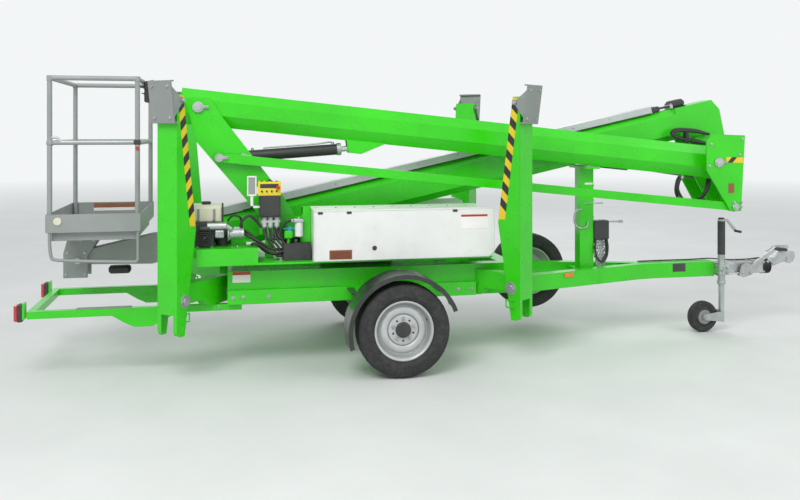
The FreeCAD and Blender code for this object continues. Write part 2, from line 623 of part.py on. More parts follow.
def outriggers():
    """Tapered box legs, folded up, each open below for its arm and with a swivelling foot on its tip."""
    pocket_low = "legSlotTop + 14"
    hip_slope = "(legHipInner - legToeInner) / (legHipZ + legToeZ)"
    for name, x, sign, yaw in LEGS:
        at = (x, f"{sign} * legY", "legZ")
        inside = [
            ("-(legTipInner - legWall)", "legTipZ - 14"), ("legOuter - legWall", "legTipZ - 14"),
            ("legOuter - legWall", pocket_low),
            (f"-(legToeInner + ({pocket_low} + legToeZ) * {hip_slope} - legWall - 4)", pocket_low),
            ("-(legHipInner - legWall - 4)", "legHipZ"),
        ]
        slot = [
            ("-legHipInner - 100", "-legToeZ - 50"), ("-legHipInner - 100", "legSlotTop"),
            ("legOuter - legWall", "legSlotTop"), ("legOuter - legWall", "-legToeZ - 50"),
        ]
        mouth = [
            ("0", "-legToeZ - 50"), ("0", "-legMouth"),
            ("legOuter + 50", "-legMouth"), ("legOuter + 50", "-legToeZ - 50"),
        ]
        side = [
            ("legOuter - legToeRound", "-legToeZ"),
            ("legOuter - legToeRound * 0.3", "-legToeZ + legToeRound * 0.3"),
            ("legOuter", "-legToeZ + legToeRound"), ("legOuter", "legTipZ"), ("-legTipInner", "legTipZ"),
            ("-legHipInner", "legHipZ"), ("-legToeInner", "-legToeZ"),
        ]
        bores = [(0, 0, "legPin + hubFit"), ("footPinX", "footPinZ", "footPin + hubFit")]
        hollows = [(inside, "legWide - 2 * legWall"), (slot, "legWide - 2 * legWall"), (mouth, "legMouthWide")]
        leg = slab(f"leg_{name}", "XZ_Plane", [side], "legWide", at, Z_AXIS, yaw, bores, hollows)
        keep(leg, f"outrigger_{name}")
        foot(name, at, yaw)


def foot(name, at, yaw):
    """Swivelling foot: a dished plate and two ears on a pin through the leg's tip."""
    lean = size("footLean")
    half = size("footLong") / 2
    wide = size("footWide") / 2
    drop = size("footDrop")
    wall = size("footWall")
    lip = size("footLip")
    root = size("footEarLong") / 2
    pin = size("footPin")
    parts = []
    for end in (-half, half - wall):
        parts.append(Part.makeBox(lip, 2 * wide, wall, Vector(drop - lip, -wide, end)))
    gap = size("legWide") / 2 + 6
    for low in (-gap - wall, gap):
        corners = ((drop, -root), (drop, root), (pin, 2 * pin), (-2 * pin, pin), (-2 * pin, -pin),
                   (pin, -2 * pin))
        ear = [Vector(out, low, up) for out, up in corners + corners[:1]]
        parts.append(Part.Face(Part.makePolygon(ear)).extrude(Vector(0, wall, 0)))
    pin_long = 2 * (gap + wall) + 14
    parts.append(Part.makeCylinder(pin, pin_long, Vector(0, -pin_long / 2, 0), Vector(0, 1, 0)))
    shape = Part.makeBox(wall, 2 * wide, 2 * half, Vector(drop, -wide, -half)).fuse(parts)
    shape.rotate(Vector(), Vector(0, 1, 0), lean)
    shape.translate(Vector(size("footPinX"), 0, size("footPinZ")))
    feature = doc.addObject("Part::Feature", f"foot_{name}")
    feature.Shape = Part.makeCompound([shape])
    keep(place(feature, at, Z_AXIS, yaw), f"foot_{name}")


def drawbar():
    """Two legs that meet in a box section nose, with the stem and flange for the spare wheel."""
    low = "(drawbarTopZ - drawbarDeep)"
    nose = "(drawbarNoseX - drawbarJoinX)"
    members = [hollow("drawbar_nose", rectangle("noseWide", "drawbarDeep", low),
                      rectangle("noseWide - 2 * beamWall", "drawbarDeep - 2 * beamWall", f"{low} + beamWall"),
                      "drawbarJoinX", nose),
               box(("10", "noseWide", "drawbarDeep"), ("drawbarNoseX - 10", "-noseWide / 2", low))]
    for side, sign in SIDES:
        outer, inner = f"{sign} * (beamY + beamWide / 2)", f"{sign} * (beamY - beamWide / 2 + 15)"
        outer_in, inner_in = f"{outer} - {sign} * 12", f"{inner} + {sign} * 12"
        members.append(slab(f"drawbar_leg_{side}", "XY_Plane", [[
            ("chassisFrontX", outer), ("chassisFrontX", inner),
            ("drawbarJoinX + 40", f"{sign} * (noseWide / 2 - drawbarWide)"),
            ("drawbarJoinX + 160", f"{sign} * (noseWide / 2 - 20)"),
            ("drawbarJoinX + 160", f"{sign} * noseWide / 2"),
            ("drawbarJoinX", f"{sign} * (noseWide / 2 + 20)"),
        ]], "drawbarDeep", ("0", "0", "drawbarTopZ - drawbarDeep / 2"), pockets=[([
            ("chassisFrontX + 10", outer_in), ("chassisFrontX + 10", inner_in),
            ("drawbarJoinX - 20", f"{sign} * (noseWide / 2 - drawbarWide + 16)"),
            ("drawbarJoinX - 20", f"{sign} * noseWide / 2"),
        ], "drawbarDeep - 2 * beamWall")]))
    members.append(box(("restWide", "440", "80"), ("restX - restWide / 2", "-220", f"{low} + 20")))
    members.append(cylinder("hubRadius - 25", "255", ("spareX", "spareY - 250", "spareZ"), "Y"))
    members.append(cylinder("hubRadius + 20", "10", ("spareX", "spareY + 20 - discWall - 10", "spareZ"), "Y"))
    keep(fuse("drawbar", members), "drawbar")
    wheel(1, ("spareX", "spareY", "spareZ"), ("spare_tyre", "spare_rim"))


def hitch():
    """Galvanised hitch tube, coupling head with its ball socket, and the parking brake lever."""
    half = "hitchTube / 2"
    keep(box(("hitchTubeEnd - drawbarNoseX", "hitchTube", "hitchTube"),
             ("drawbarNoseX", f"-{half}", f"hitchZ - {half}")), "hitch_tube")
    head = slab("coupling_body", "XZ_Plane", [[
        ("hitchTubeEnd", "hitchZ - 30"), ("ballX - 45", "ballZ - 45"), ("couplingEnd - 25", "ballZ - 45"),
        ("couplingEnd", "ballZ"), ("couplingEnd - 15", "ballZ + 45"), ("ballX - 60", "ballZ + 52"),
        ("hitchTubeEnd + 100", "hitchZ + 75"), ("hitchTubeEnd", "hitchZ + 40"),
    ]], "80")
    socket = cylinder("ballRadius", "70", ("ballX", "0", "ballZ - 60"))
    keep(cut("coupling_head", head, socket), "coupling_head")
    lever = slab("lever_bar", "XZ_Plane", [[
        ("leverX - 20", "hitchZ - 62"), ("leverX + 20", "hitchZ - 74"),
        ("leverX + 372", "hitchZ + 150"), ("leverX + 350", "hitchZ + 176"),
    ]], "16", ("0", f"-({half} + 12)", "0"))
    boss = cylinder("26", "22", ("leverX + 50", f"-({half} + 22)", "hitchZ - 30"), "Y")
    keep(fuse("brake_lever", [lever, boss]), "brake_lever")


def jockey():
    """Jockey wheel: outer tube clamped to the hitch tube, winding crank, swivelling fork and solid wheel."""
    fork_low, fork_high = "(jockeyRadius - 45)", "(jockeyRadius + 45)"
    wheel_x = "(jockeyX - jockeyTrail)"
    outer = cylinder("jockeyTube", "jockeyTopZ - jockeyLowZ", ("jockeyX", "jockeyY", "jockeyLowZ"))
    bore = cylinder("jockeyInner + hubFit", "jockeyTopZ - jockeyLowZ - 40",
                    ("jockeyX", "jockeyY", "jockeyLowZ"))
    clamp = box(("88", "-jockeyY - hitchTube / 2 + jockeyTube + 12", "70"),
                ("jockeyX - 44", "jockeyY - jockeyTube - 12", "hitchZ - 35"))
    crank = slab("jockey_crank", "XZ_Plane", [[
        ("jockeyX - 12", "jockeyTopZ"), ("jockeyX + 60", "jockeyTopZ"), ("jockeyX + 140", "jockeyTopZ - 90"),
        ("jockeyX + 122", "jockeyTopZ - 104"), ("jockeyX + 50", "jockeyTopZ - 20"),
        ("jockeyX - 12", "jockeyTopZ - 20"),
    ]], "14", ("0", "jockeyY", "0"))
    body = cut("jockey_outer", fuse("jockey_shell", [outer, clamp]), bore)
    keep(fuse("jockey_tube", [body, crank]), "jockey_tube")
    members = [
        cylinder("jockeyInner", f"jockeyTopZ - 60 - {fork_low}", ("jockeyX", "jockeyY", fork_low)),
        box(("12", "jockeyWide + 24", f"{fork_high} - {fork_low}"),
            ("jockeyX - jockeyInner + 4", "jockeyY - jockeyWide / 2 - 12", fork_low)),
        cylinder("10", "jockeyWide + 30", (wheel_x, "jockeyY - jockeyWide / 2 - 15", "jockeyRadius"), "Y"),
    ]
    for side, sign in SIDES:
        members.append(slab("jockey_cheek", "XZ_Plane", [[
            ("jockeyX - jockeyInner + 16", fork_high), ("jockeyX - jockeyInner + 16", fork_low),
            (f"{wheel_x} - 6", "jockeyRadius - 24"), (f"{wheel_x} - 24", "jockeyRadius - 8"),
            (f"{wheel_x} - 24", "jockeyRadius + 8"), (f"{wheel_x} - 6", "jockeyRadius + 24"),
        ]], "6", ("0", f"jockeyY + {sign} * (jockeyWide / 2 + 9)", "0")))
    keep(fuse("jockey_fork", members), "jockey_fork")
    keep(turned("jockey_wheel", [
        ("10 + hubFit", "-jockeyWide / 2"), ("60", "-jockeyWide / 2"), ("80", "-jockeyWide / 2 + 10"),
        ("jockeyRadius - 12", "-jockeyWide / 2 + 4"), ("jockeyRadius", "-16"),
        ("jockeyRadius", "16"), ("jockeyRadius - 12", "jockeyWide / 2 - 4"),
        ("80", "jockeyWide / 2 - 10"), ("60", "jockeyWide / 2"), ("10 + hubFit", "jockeyWide / 2"),
    ], (wheel_x, "jockeyY", "jockeyRadius"), (1, 0, 0), "-90"), "jockey_wheel")


def rear_frame():
    """Light bumper frame behind the chassis, its rails under the sills, with the tail lamps."""
    low = "(rearRailZ - rearRail / 2)"
    belly_x, belly_low = "(chassisRearX - bellyBack)", f"{low} - bellyDeep"
    rail_end = "chassisRearX + 100"
    members = [box(("rearRail", "2 * rearRailY + rearRail", "rearRail"),
                   ("rearBarX - rearRail / 2", "-rearRailY - rearRail / 2", low))]
    for name, sign in SIDES:
        members.append(slab(f"rear_rail_{name}", "XZ_Plane", [[
            ("rearBarX", low), (f"{belly_x} - 0.7 * bellyLong", low),
            (f"{belly_x} - 0.43 * bellyLong", f"{low} - 0.6 * bellyDeep"),
            (f"{belly_x} - 0.2 * bellyLong", belly_low), (f"{belly_x} + 0.2 * bellyLong", belly_low),
            (f"{belly_x} + 0.43 * bellyLong", f"{low} - 0.6 * bellyDeep"),
            (f"{belly_x} + 0.77 * bellyLong", "rearRailZ - 20"), (rail_end, "rearRailZ - 20"),
            (rail_end, SILL_LOW), ("rearBarX", SILL_LOW),
        ]], "rearRail", ("0", f"{sign} * rearRailY", "0"), pockets=[([
            ("rearBarX + rearRail / 2", f"{low} + beamWall"),
            (f"{belly_x} - 0.2 * bellyLong", f"{low} + beamWall"),
            (f"{belly_x} - 0.16 * bellyLong", f"{belly_low} + beamWall"),
            (f"{belly_x} + 0.16 * bellyLong", f"{belly_low} + beamWall"),
            (f"{belly_x} + 0.2 * bellyLong", "rearRailZ - 20 + beamWall"),
            (f"{rail_end} - beamWall", "rearRailZ - 20 + beamWall"),
            (f"{rail_end} - beamWall", f"{SILL_LOW} - beamWall"),
            ("rearBarX + rearRail / 2", f"{SILL_LOW} - beamWall"),
        ], "rearRail - 2 * beamWall")]))
        members.append(box(("16", "60", "110"), ("lampX + 55", f"{sign} * rearRailY - 30", low)))
        members.append(box(("rearBarX - lampX - 55", "30", "30"),
                           ("lampX + 55", f"{sign} * rearRailY - 15", f"{low} + 10")))
    keep(fuse("rear_frame", members), "rear_frame")
    lamps = [box(("55", "66", "118"), ("lampX", f"{sign} * rearRailY - 33", "rearRailZ - 42"))
             for name, sign in SIDES]
    keep(gather("tail_lamps", lamps), "tail_lamps")


def turret():
    """Slew ring, the deck it carries, notched behind for the booms, and the engine tray."""
    ring_high = "deckZ - deckWall - chassisTopZ"
    notch_right, notch_left = "upperY - upperWide / 2 - notchSide", "upperY + upperWide / 2 + notchSide"
    keep(turned("slew_ring", [
        ("slewRadius - 70", "0"), ("slewRadius", "0"), ("slewRadius", "22"), ("slewRadius - 12", "26"),
        ("slewRadius - 12", ring_high), ("slewRadius - 70", ring_high),
    ], ("slewX", "0", "chassisTopZ")), "slew_ring")
    deck = slab("deck_plate", "XY_Plane", [[
        ("deckRearX", "-deckY"), ("deckFrontX", "-deckY"), ("deckFrontX", "deckY"), ("deckRearX", "deckY"),
        ("deckRearX", notch_left), ("notchX", notch_left), ("notchX", notch_right), ("deckRearX", notch_right),
    ]], "deckWall", ("0", "0", "deckZ - deckWall / 2"))
    tray = hollow("tray", rectangle("deckY - 90", "trayZ - deckZ", "deckZ"),
                  rectangle("deckY - 110", "trayZ - deckZ - 20", "deckZ + 10"),
                  "deckRearX", "420", "-(deckY + 90) / 2")
    keep(fuse("turret_deck", [deck, tray]), "turret_deck")


def king_post():
    """Two leaning plates that carry the lower boom, its tie rod and its lift cylinder."""
    outline = [
        ("rootPinX - 97", "rootPinZ + 68"), ("rootPinX + 90", "rootPinZ + 68"),
        ("rootPinX + 175", "rootPinZ - 76"), ("rootPinX + 590", "rootPinZ - 620"),
        ("rootPinX + 740", "rootPinZ - 870"),
        ("rootPinX + 940", "deckZ"), ("rootPinX + 680", "deckZ"),
        ("rootPinX + 325", "rootPinZ - 656"), ("rootPinX - 10", "rootPinZ - 256"),
    ]
    members = [slab("post_plate", "XZ_Plane", [outline], "cheekWall", ("0", y, "0"))
               for y in ("postRightY", "midPlateY")]
    inside = "(midPlateY - postRightY - cheekWall)"
    start = "(postRightY + cheekWall / 2)"
    members += [
        box(("300", "midPlateY - postRightY + 32", "14"), ("rootPinX + 665", "postRightY - 16", "deckZ")),
        box(("200", inside, "14"), ("rootPinX + 560", start, "deckZ + 260")),
        cylinder("boomPin", "midPlateY - postRightY + 32", ("rootPinX", "postRightY - 16", "rootPinZ"), "Y"),
        cylinder("tiePin", "postRightY - tieY + tieWide / 2 + 14",
                 ("rootPinX + tieDX", "tieY - tieWide / 2 - 14", "rootPinZ + tieDZ"), "Y"),
        cylinder("ramPin", inside, ("rootPinX + lowBaseAlong", start, "rootPinZ + lowBaseUp"), "Y"),
    ]
    keep(fuse("king_post", members), "king_post")


def ears(name, outline, y_gap, wall):
    """A pair of like plates, a gap apart."""
    return [slab(name, "XZ_Plane", [outline], wall, ("0", f"{sign} * (({y_gap}) + ({wall})) / 2", "0"))
            for side, sign in SIDES]


def lower_boom():
    """Lower boom: a hollow eight sided tube, a boss at each pin and two ears for its lift cylinder."""
    low = "(-lowerDeep / 2)"
    start = "(-lowerTail)"
    length = "(lowerLength + lowerTail + lowerHead)"
    outer = chamfered("lowerWide", "lowerDeep", low, "boomChamfer", "lowerRiseLow", "lowerRiseTop")
    inner = chamfered("(lowerWide - 2 * boomWall)", "(lowerDeep - 2 * boomWall)", f"({low} + boomWall)",
                      "(boomChamfer - 3)", "(lowerRiseLow - 3)", "(lowerRiseTop - 3)")
    members = [hollow("lower_tube", outer, inner, start, length)]
    for x in ("0", "lowerLength"):
        members.append(cylinder("boomPin + 22", "lowerWide", (x, "-lowerWide / 2", "0"), "Y"))
    for x in (start, "lowerLength + lowerHead - 10"):
        members.append(slab("boom_end", "YZ_Plane", [outer], "10", (f"{x} + 5", "0", "0")))
    members += ears("ram_ear", [
        ("lowEyeAlong - 75", f"{low} + 6"), ("lowEyeAlong + 235", f"{low} + 6"),
        ("lowEyeAlong + 50", "lowEyeUp - 42"), ("lowEyeAlong - 47", "lowEyeUp - 42"),
    ], "ramWide + 14", "earWall")
    bores = [cylinder("boomPin + hubFit", "lowerWide + 40", (x, "-lowerWide / 2 - 20", "0"), "Y")
             for x in ("0", "lowerLength")]
    piece = cut("lower_boom", fuse("lower_solid", members), fuse("lower_bores", bores))
    keep(place(piece, ("rootPinX", "lowerY", "rootPinZ"), Y_AXIS, "lowerSlope"), "lower_boom")


def tie_rod():
    """Levelling rod beside the lower boom, parallel to it and of the same length."""
    bar = hollow("tie_bar", rectangle("tieWide", "tieDeep", "-tieDeep / 2"),
                 rectangle("tieWide - 10", "tieDeep - 10", "-tieDeep / 2 + 5"), "30", "lowerLength - 60")
    eyes = [cylinder("tiePin + 20", "tieWide", (x, "-tieWide / 2", "0"), "Y") for x in ("0", "lowerLength")]
    bores = [cylinder("tiePin + hubFit", "tieWide + 20", (x, "-tieWide / 2 - 10", "0"), "Y")
             for x in ("0", "lowerLength")]
    piece = cut("tie_rod", fuse("tie_solid", [bar] + eyes), fuse("tie_bores", bores))
    keep(place(piece, ("rootPinX + tieDX", "tieY", "rootPinZ + tieDZ"), Y_AXIS, "lowerSlope"), "tie_rod")


def knuckle():
    """Three plates and their pins: lower boom between right and middle, upper boom between middle and left."""
    right = [("-110", "-60"), ("-110", "175"), ("-50", "232"),
             ("240", "222"), ("204", "-402"), ("108", "-402")]
    tall = [("-80", "-60"), ("-80", "175"), ("90", "250"),
            ("250", "214"), ("212", "-402"), ("120", "-402")]
    members = [slab("knuckle_plate", "XZ_Plane", [outline], "cheekWall", ("0", y, "0"))
               for outline, y in ((right, "knuckleRightY"), (tall, "midPlateY"), (tall, "knuckleLeftY"))]
    members += [
        box(("12", "knuckleLeftY - knuckleRightY", "300"), ("196", "knuckleRightY", "-402")),
        cylinder("boomPin", "midPlateY - knuckleRightY + 20", ("0", "knuckleRightY - 10", "0"), "Y"),
        cylinder("tiePin", "tieY + tieWide / 2 + 22 - knuckleRightY",
                 ("tieDX", "knuckleRightY - 10", "tieDZ"), "Y"),
        cylinder("boomPin", "knuckleLeftY - midPlateY + 20", ("upperDX", "midPlateY - 10", "upperDZ"), "Y"),
        cylinder("ramPin", "knuckleLeftY - midPlateY", ("highBaseAlong", "midPlateY", "highBaseUp"), "Y"),
    ]
    keep(place(fuse("knuckle", members), ("knuckleX", "0", "knuckleZ")), "knuckle")


def upper_boom():
    """Upper boom: hollow tube with a deep heel at its pin, ears for its lift cylinder and slide pads."""
    at = ("upperX", "upperY", "upperZ")
    turn = (Y_AXIS, "-upperSlope")
    outer = chamfered("upperWide", "upperDeep", "upperLow", "boomChamfer", "boomChamfer", "boomChamfer")
    inner = chamfered("(upperWide - 2 * boomWall)", "(upperDeep - 2 * boomWall)", "(upperLow + boomWall)",
                      "(boomChamfer - 3)", "(boomChamfer - 3)", "(boomChamfer - 3)")
    members = [hollow("upper_tube", outer, inner, "-upperLength", "upperLength - 150")]
    heel = [
        ("-300", "upperLow"), ("-90", "-62"), ("40", "-62"), ("upperHeel", "40"),
        ("upperHeel", f"{UPPER_HIGH} - 95"), ("upperHeel - 58", UPPER_HIGH), ("-300", UPPER_HIGH),
    ]
    members += ears("heel_plate", heel, "upperWide - 24", "12")
    members += [
        box(("upperHeel - 58 + 200", "upperWide - 12", "8"),
            ("-200", "-upperWide / 2 + 6", f"{UPPER_HIGH} - 8")),
        box(("8", "upperWide - 12", f"{UPPER_HIGH} - 95 - 40"),
            ("upperHeel - 8", "-upperWide / 2 + 6", "40")),
        cylinder("boomPin + 22", "upperWide + 24", ("0", "-upperWide / 2 - 12", "0"), "Y"),
    ]
    members += ears("ram_ear", [
        ("highEyeAlong - 144", "upperLow + 6"), ("highEyeAlong + 216", "upperLow + 6"),
        ("highEyeAlong + 46", "highEyeUp - 43"), ("highEyeAlong - 44", "highEyeUp - 43"),
    ], "ramWide + 14", "earWall")
    bore = cylinder("boomPin + hubFit", "upperWide + 60", ("0", "-upperWide / 2 - 30", "0"), "Y")
    inside_low = "(upperLow + boomWall)"
    inside_high = f"({UPPER_HIGH} - boomWall)"
    fly_high = "(flyLow + flyDeep)"
    gaps = ((f"{inside_low} - 2", "flyLow - padFit"), (f"{fly_high} + padFit", f"{inside_high} + 2"))
    for x in ("-upperLength + 10", "-upperLength + 500"):
        for low, high in gaps:
            members.append(box(("80", "60", f"({high}) - ({low})"), (x, "-30", low)))
        wide = "(upperWide - flyWide) / 2 - boomWall - padFit + 2"
        for y in ("flyWide / 2 + padFit", "-(upperWide / 2 - boomWall + 2)"):
            members.append(box(("80", wide, "70"), (x, y, "flyLow + 70")))
    keep(place(cut("upper_boom", fuse("upper_solid", members), bore), at, *turn), "upper_boom")
    half = "trayWide / 2"
    tray = slab("tray_channel", "YZ_Plane", [[
        (f"-{half}", UPPER_HIGH), (f"-{half}", f"{UPPER_HIGH} + trayHigh"), (half, f"{UPPER_HIGH} + trayHigh"),
        (half, UPPER_HIGH), (f"{half} - 4", UPPER_HIGH), (f"{half} - 4", f"{UPPER_HIGH} + trayHigh - 4"),
        (f"-{half} + 4", f"{UPPER_HIGH} + trayHigh - 4"), (f"-{half} + 4", UPPER_HIGH),
    ]], "upperLength - 530", ("-(upperLength - 30 + 500) / 2", "0", "0"))
    tray_end = box(("6", "trayWide", "trayHigh"), ("-506", f"-{half}", UPPER_HIGH))
    keep(place(fuse("hose_tray", [tray, tray_end]), at, *turn), "hose_tray")


def fly_boom():
    """Sliding boom with a drooped nose of two plates that carries the basket's levelling pin."""
    outer = chamfered("flyWide", "flyDeep", "flyLow", "flyChamfer", "flyChamfer", "flyChamfer")
    inner = chamfered("(flyWide - 2 * boomWall)", "(flyDeep - 2 * boomWall)", "(flyLow + boomWall)",
                      "(flyChamfer - 3)", "(flyChamfer - 3)", "(flyChamfer - 3)")
    start = "(upperLength - flyInside)"
    high = "(flyLow + flyDeep)"
    nose = [
        ("-flyEnd + 60", "flyLow"), ("-flyEnd + 60", high), ("-flyReach - 36", high),
        ("-flyReach - 61", f"{high} - 30"),
        ("-flyReach - 61", "flyPinUp - 30"), ("-flyReach + 44", "flyPinUp - 40"), ("-flyEnd", "flyLow"),
    ]
    members = [hollow("fly_tube", outer, inner, "-flyEnd", f"flyEnd - {start}")]
    members += ears("nose_plate", nose, "flyWide - 20", "10")
    members += [
        box(("flyReach + 36 - flyEnd", "flyWide - 10", "8"),
            ("-flyReach - 36", "-flyWide / 2 + 5", f"{high} - 8")),
        cylinder("ramPin + 24", "flyWide", ("-flyReach", "-flyWide / 2", "flyPinUp"), "Y"),
    ]
    bore = cylinder("ramPin + hubFit", "flyWide + 20", ("-flyReach", "-flyWide / 2 - 10", "flyPinUp"), "Y")
    piece = cut("fly_boom", fuse("fly_solid", members), bore)
    keep(place(piece, ("upperX", "upperY", "upperZ"), Y_AXIS, "-upperSlope"), "fly_boom")


def ram(name, start, end, barrel_length):
    """Lift cylinder from base pin to rod pin: a bored barrel with its eye, and the rod with its eye."""
    along = (end - start).normalize()
    span = (end - start).Length
    side = Vector(0, 1, 0)
    wide, pin, rod_radius = size("ramWide"), size("ramPin"), size("rodRadius")
    fit = size("hubFit")
    barrel = Part.makeCylinder(size("barrelRadius"), barrel_length - 30, start + along * 30, along)
    barrel = barrel.fuse(Part.makeCylinder(size("ramEye"), wide, start - side * (wide / 2), side))
    closed = size("ramFoot")
    bore_start = start + along * (closed - 15)
    barrel = barrel.cut(Part.makeCylinder(rod_radius + fit, barrel_length, bore_start, along))
    barrel = barrel.cut(Part.makeCylinder(pin + fit, wide + 20, start - side * (wide / 2 + 10), side))
    rod = Part.makeCylinder(rod_radius, span - closed, start + along * closed, along)
    rod = rod.fuse(Part.makeCylinder(size("ramEye"), wide, end - side * (wide / 2), side))
    for label, shape in ((name + "_barrel", barrel), (name + "_rod", rod)):
        feature = doc.addObject("Part::Feature", label)
        feature.Shape = shape
        keep(feature, label)


def rams():
    """Both lift cylinders, between the pins of their plates and the ears of their booms."""
    slope = math.radians(size("lowerSlope"))
    rise = math.radians(size("upperSlope"))
    root = Vector(size("rootPinX"), size("lowerY"), size("rootPinZ"))
    eye = Vector(size("lowEyeAlong") * math.cos(slope) + size("lowEyeUp") * math.sin(slope), 0,
                 size("lowEyeUp") * math.cos(slope) - size("lowEyeAlong") * math.sin(slope))
    ram("lower_ram", root + Vector(size("lowBaseAlong"), 0, size("lowBaseUp")), root + eye, size("lowBarrel"))
    bend = Vector(root.x + size("lowerLength") * math.cos(slope), size("upperY"),
                  root.z - size("lowerLength") * math.sin(slope))
    eye = Vector(size("highEyeAlong") * math.cos(rise) - size("highEyeUp") * math.sin(rise), 0,
                 size("highEyeAlong") * math.sin(rise) + size("highEyeUp") * math.cos(rise))
    ram("upper_ram", bend + Vector(size("highBaseAlong"), 0, size("highBaseUp")),
        bend + Vector(size("upperDX"), 0, size("upperDZ")) + eye, size("highBarrel"))


def basket():
    """Work basket on its levelling bracket: tray, guard rails, sliding entry bar and console."""
    rear, front = "(basketPinX - basketRear)", "(basketPinX + basketFront)"
    floor = "(basketPinZ + basketFloor)"
    beam_low = f"({floor} - toeWall - floorBeam)"
    rail_high, rail_mid = "(basketPinZ + basketTop - railRadius)", "(basketPinZ + basketMid)"
    deep, wide = "(basketFront + basketRear)", "(basketLeftY - basketRightY)"
    members = [box((deep, wide, "toeWall"), (rear, "basketRightY", f"{floor} - toeWall"))]
    for x in (rear, f"{front} - toeWall"):
        members.append(box(("toeWall", wide, "toeHigh"), (x, "basketRightY", floor)))
    for y in ("basketRightY", "basketLeftY - toeWall"):
        members.append(box((deep, "toeWall", "toeHigh"), (rear, y, floor)))
    for y in ("basketRightY + 40", "basketLeftY - 80"):
        members.append(box((f"{deep} - floorBeam", "40", "floorBeam"),
                           (f"{rear} + floorBeam / 2", y, beam_low)))
    for x in (f"{rear} + floorBeam / 2", f"{front} - 1.5 * floorBeam"):
        members.append(box(("floorBeam", f"{wide} - 80", "floorBeam"), (x, "basketRightY + 40", beam_low)))
    keep(fuse("basket_tray", members), "basket_tray")
    inset = "(railRadius + toeWall)"
    xs = (f"({rear} + {inset})", f"({front} - {inset})")
    ys = (f"(basketRightY + {inset})", f"(basketLeftY - {inset})")
    rails = [cylinder("railRadius", f"{rail_high} - {floor}", (x, y, floor)) for x in xs for y in ys]
    for z, rows in ((rail_high, ys), (rail_mid, ys[1:])):
        rails += [cylinder("railRadius", f"{deep} - 2 * {inset}", (xs[0], y, z), "X") for y in rows]
        rails += [cylinder("railRadius", f"{wide} - 2 * {inset}", (x, ys[0], z), "Y") for x in xs]
    rails.append(cylinder("railRadius - 3", f"{deep} - 2 * {inset}", (xs[0], ys[0], rail_mid), "X"))
    keep(fuse("basket_frame", rails), "basket_frame")
    console = slab("console_case", "XZ_Plane", [[
        ("0", "-consoleHigh"), ("consoleDeep", "-consoleHigh"), ("consoleDeep", "0"),
        ("consoleDeep - 22", "12"),
        ("0", "0"),
    ]], "consoleWide", (f"{xs[1]} + railRadius", "basketRightY + 440", rail_high))
    keep(console, "basket_console")
    beam_under = "basketFloor - toeWall - floorBeam"
    cheek = [("-100", "-125"), ("70", "-125"), ("70", "40"),
             ("180", beam_under), ("-60", beam_under), ("-100", "60")]
    plates = ears("basket_cheek", cheek, "flyWide + 16", "10")
    plates += [
        box(("90", "flyWide + 36", "12"), ("-60", "-(flyWide + 36) / 2", f"{beam_under} - 12")),
        cylinder("ramPin", "flyWide + 44", ("0", "-(flyWide + 44) / 2", "0"), "Y"),
    ]
    keep(place(fuse("basket_bracket", plates), ("basketPinX", "upperY", "basketPinZ")), "basket_bracket")


def covers():
    """A cover on each side of the deck, open outwards, the door that closes it and the batteries inside."""
    corner, toe = "coverRound", "coverToe"
    rear, front, low, high = "coverRearX", "coverFrontX", "deckZ", "coverTopZ"

    def profile(inset):
        """The cover seen from the side, with its rounded upper and cut lower corner in front."""
        return [
            (f"{rear} + {inset}", f"{low} + {inset}"),
            (f"{front} - {toe} - {inset} / 2", f"{low} + {inset}"),
            (f"{front} - {inset}", f"{low} + {toe} + {inset} / 2"),
            (f"{front} - {inset}", f"{high} - {corner}"),
            (f"{front} - {corner} * 0.3 - {inset}", f"{high} - {corner} * 0.3 - {inset}"),
            (f"{front} - {corner}", f"{high} - {inset}"), (f"{rear} + {inset}", f"{high} - {inset}"),
        ]

    rows = (("right", -1, "coverRightIn", "coverOutY"), ("left", 1, "coverLeftIn", "coverOutY"))
    for side, sign, inner, outer in rows:
        shell = slab(f"cover_shell_{side}", "XZ_Plane", [profile("0"), profile("coverWall")],
                     f"{outer} - {inner}", ("0", f"{sign} * ({outer} + {inner}) / 2", "0"))
        back = slab(f"cover_back_{side}", "XZ_Plane", [profile("0")], "coverWall",
                    ("0", f"{sign} * ({inner} + coverWall / 2)", "0"))
        keep(fuse(f"cover_{side}", [shell, back]), f"cover_{side}")
        keep(slab(f"door_{side}", "XZ_Plane", [profile("1")], "coverWall",
                  ("0", f"{sign} * ({outer} + doorFit + coverWall / 2)", "0")), f"door_{side}")
    room, floor = "(coverFrontX - coverRearX - 120)", "deckZ + coverWall"
    sides = ("-coverOutY + 60", "coverOutY - 60 - batteryWide")
    case = (f"{room} / 4 - 50", "batteryWide", "batteryHigh")
    blocks = [box(case, (f"coverRearX + 60 + {i} * {room} / 4", y, floor)) for i in range(4) for y in sides]
    keep(gather("batteries", blocks), "batteries")


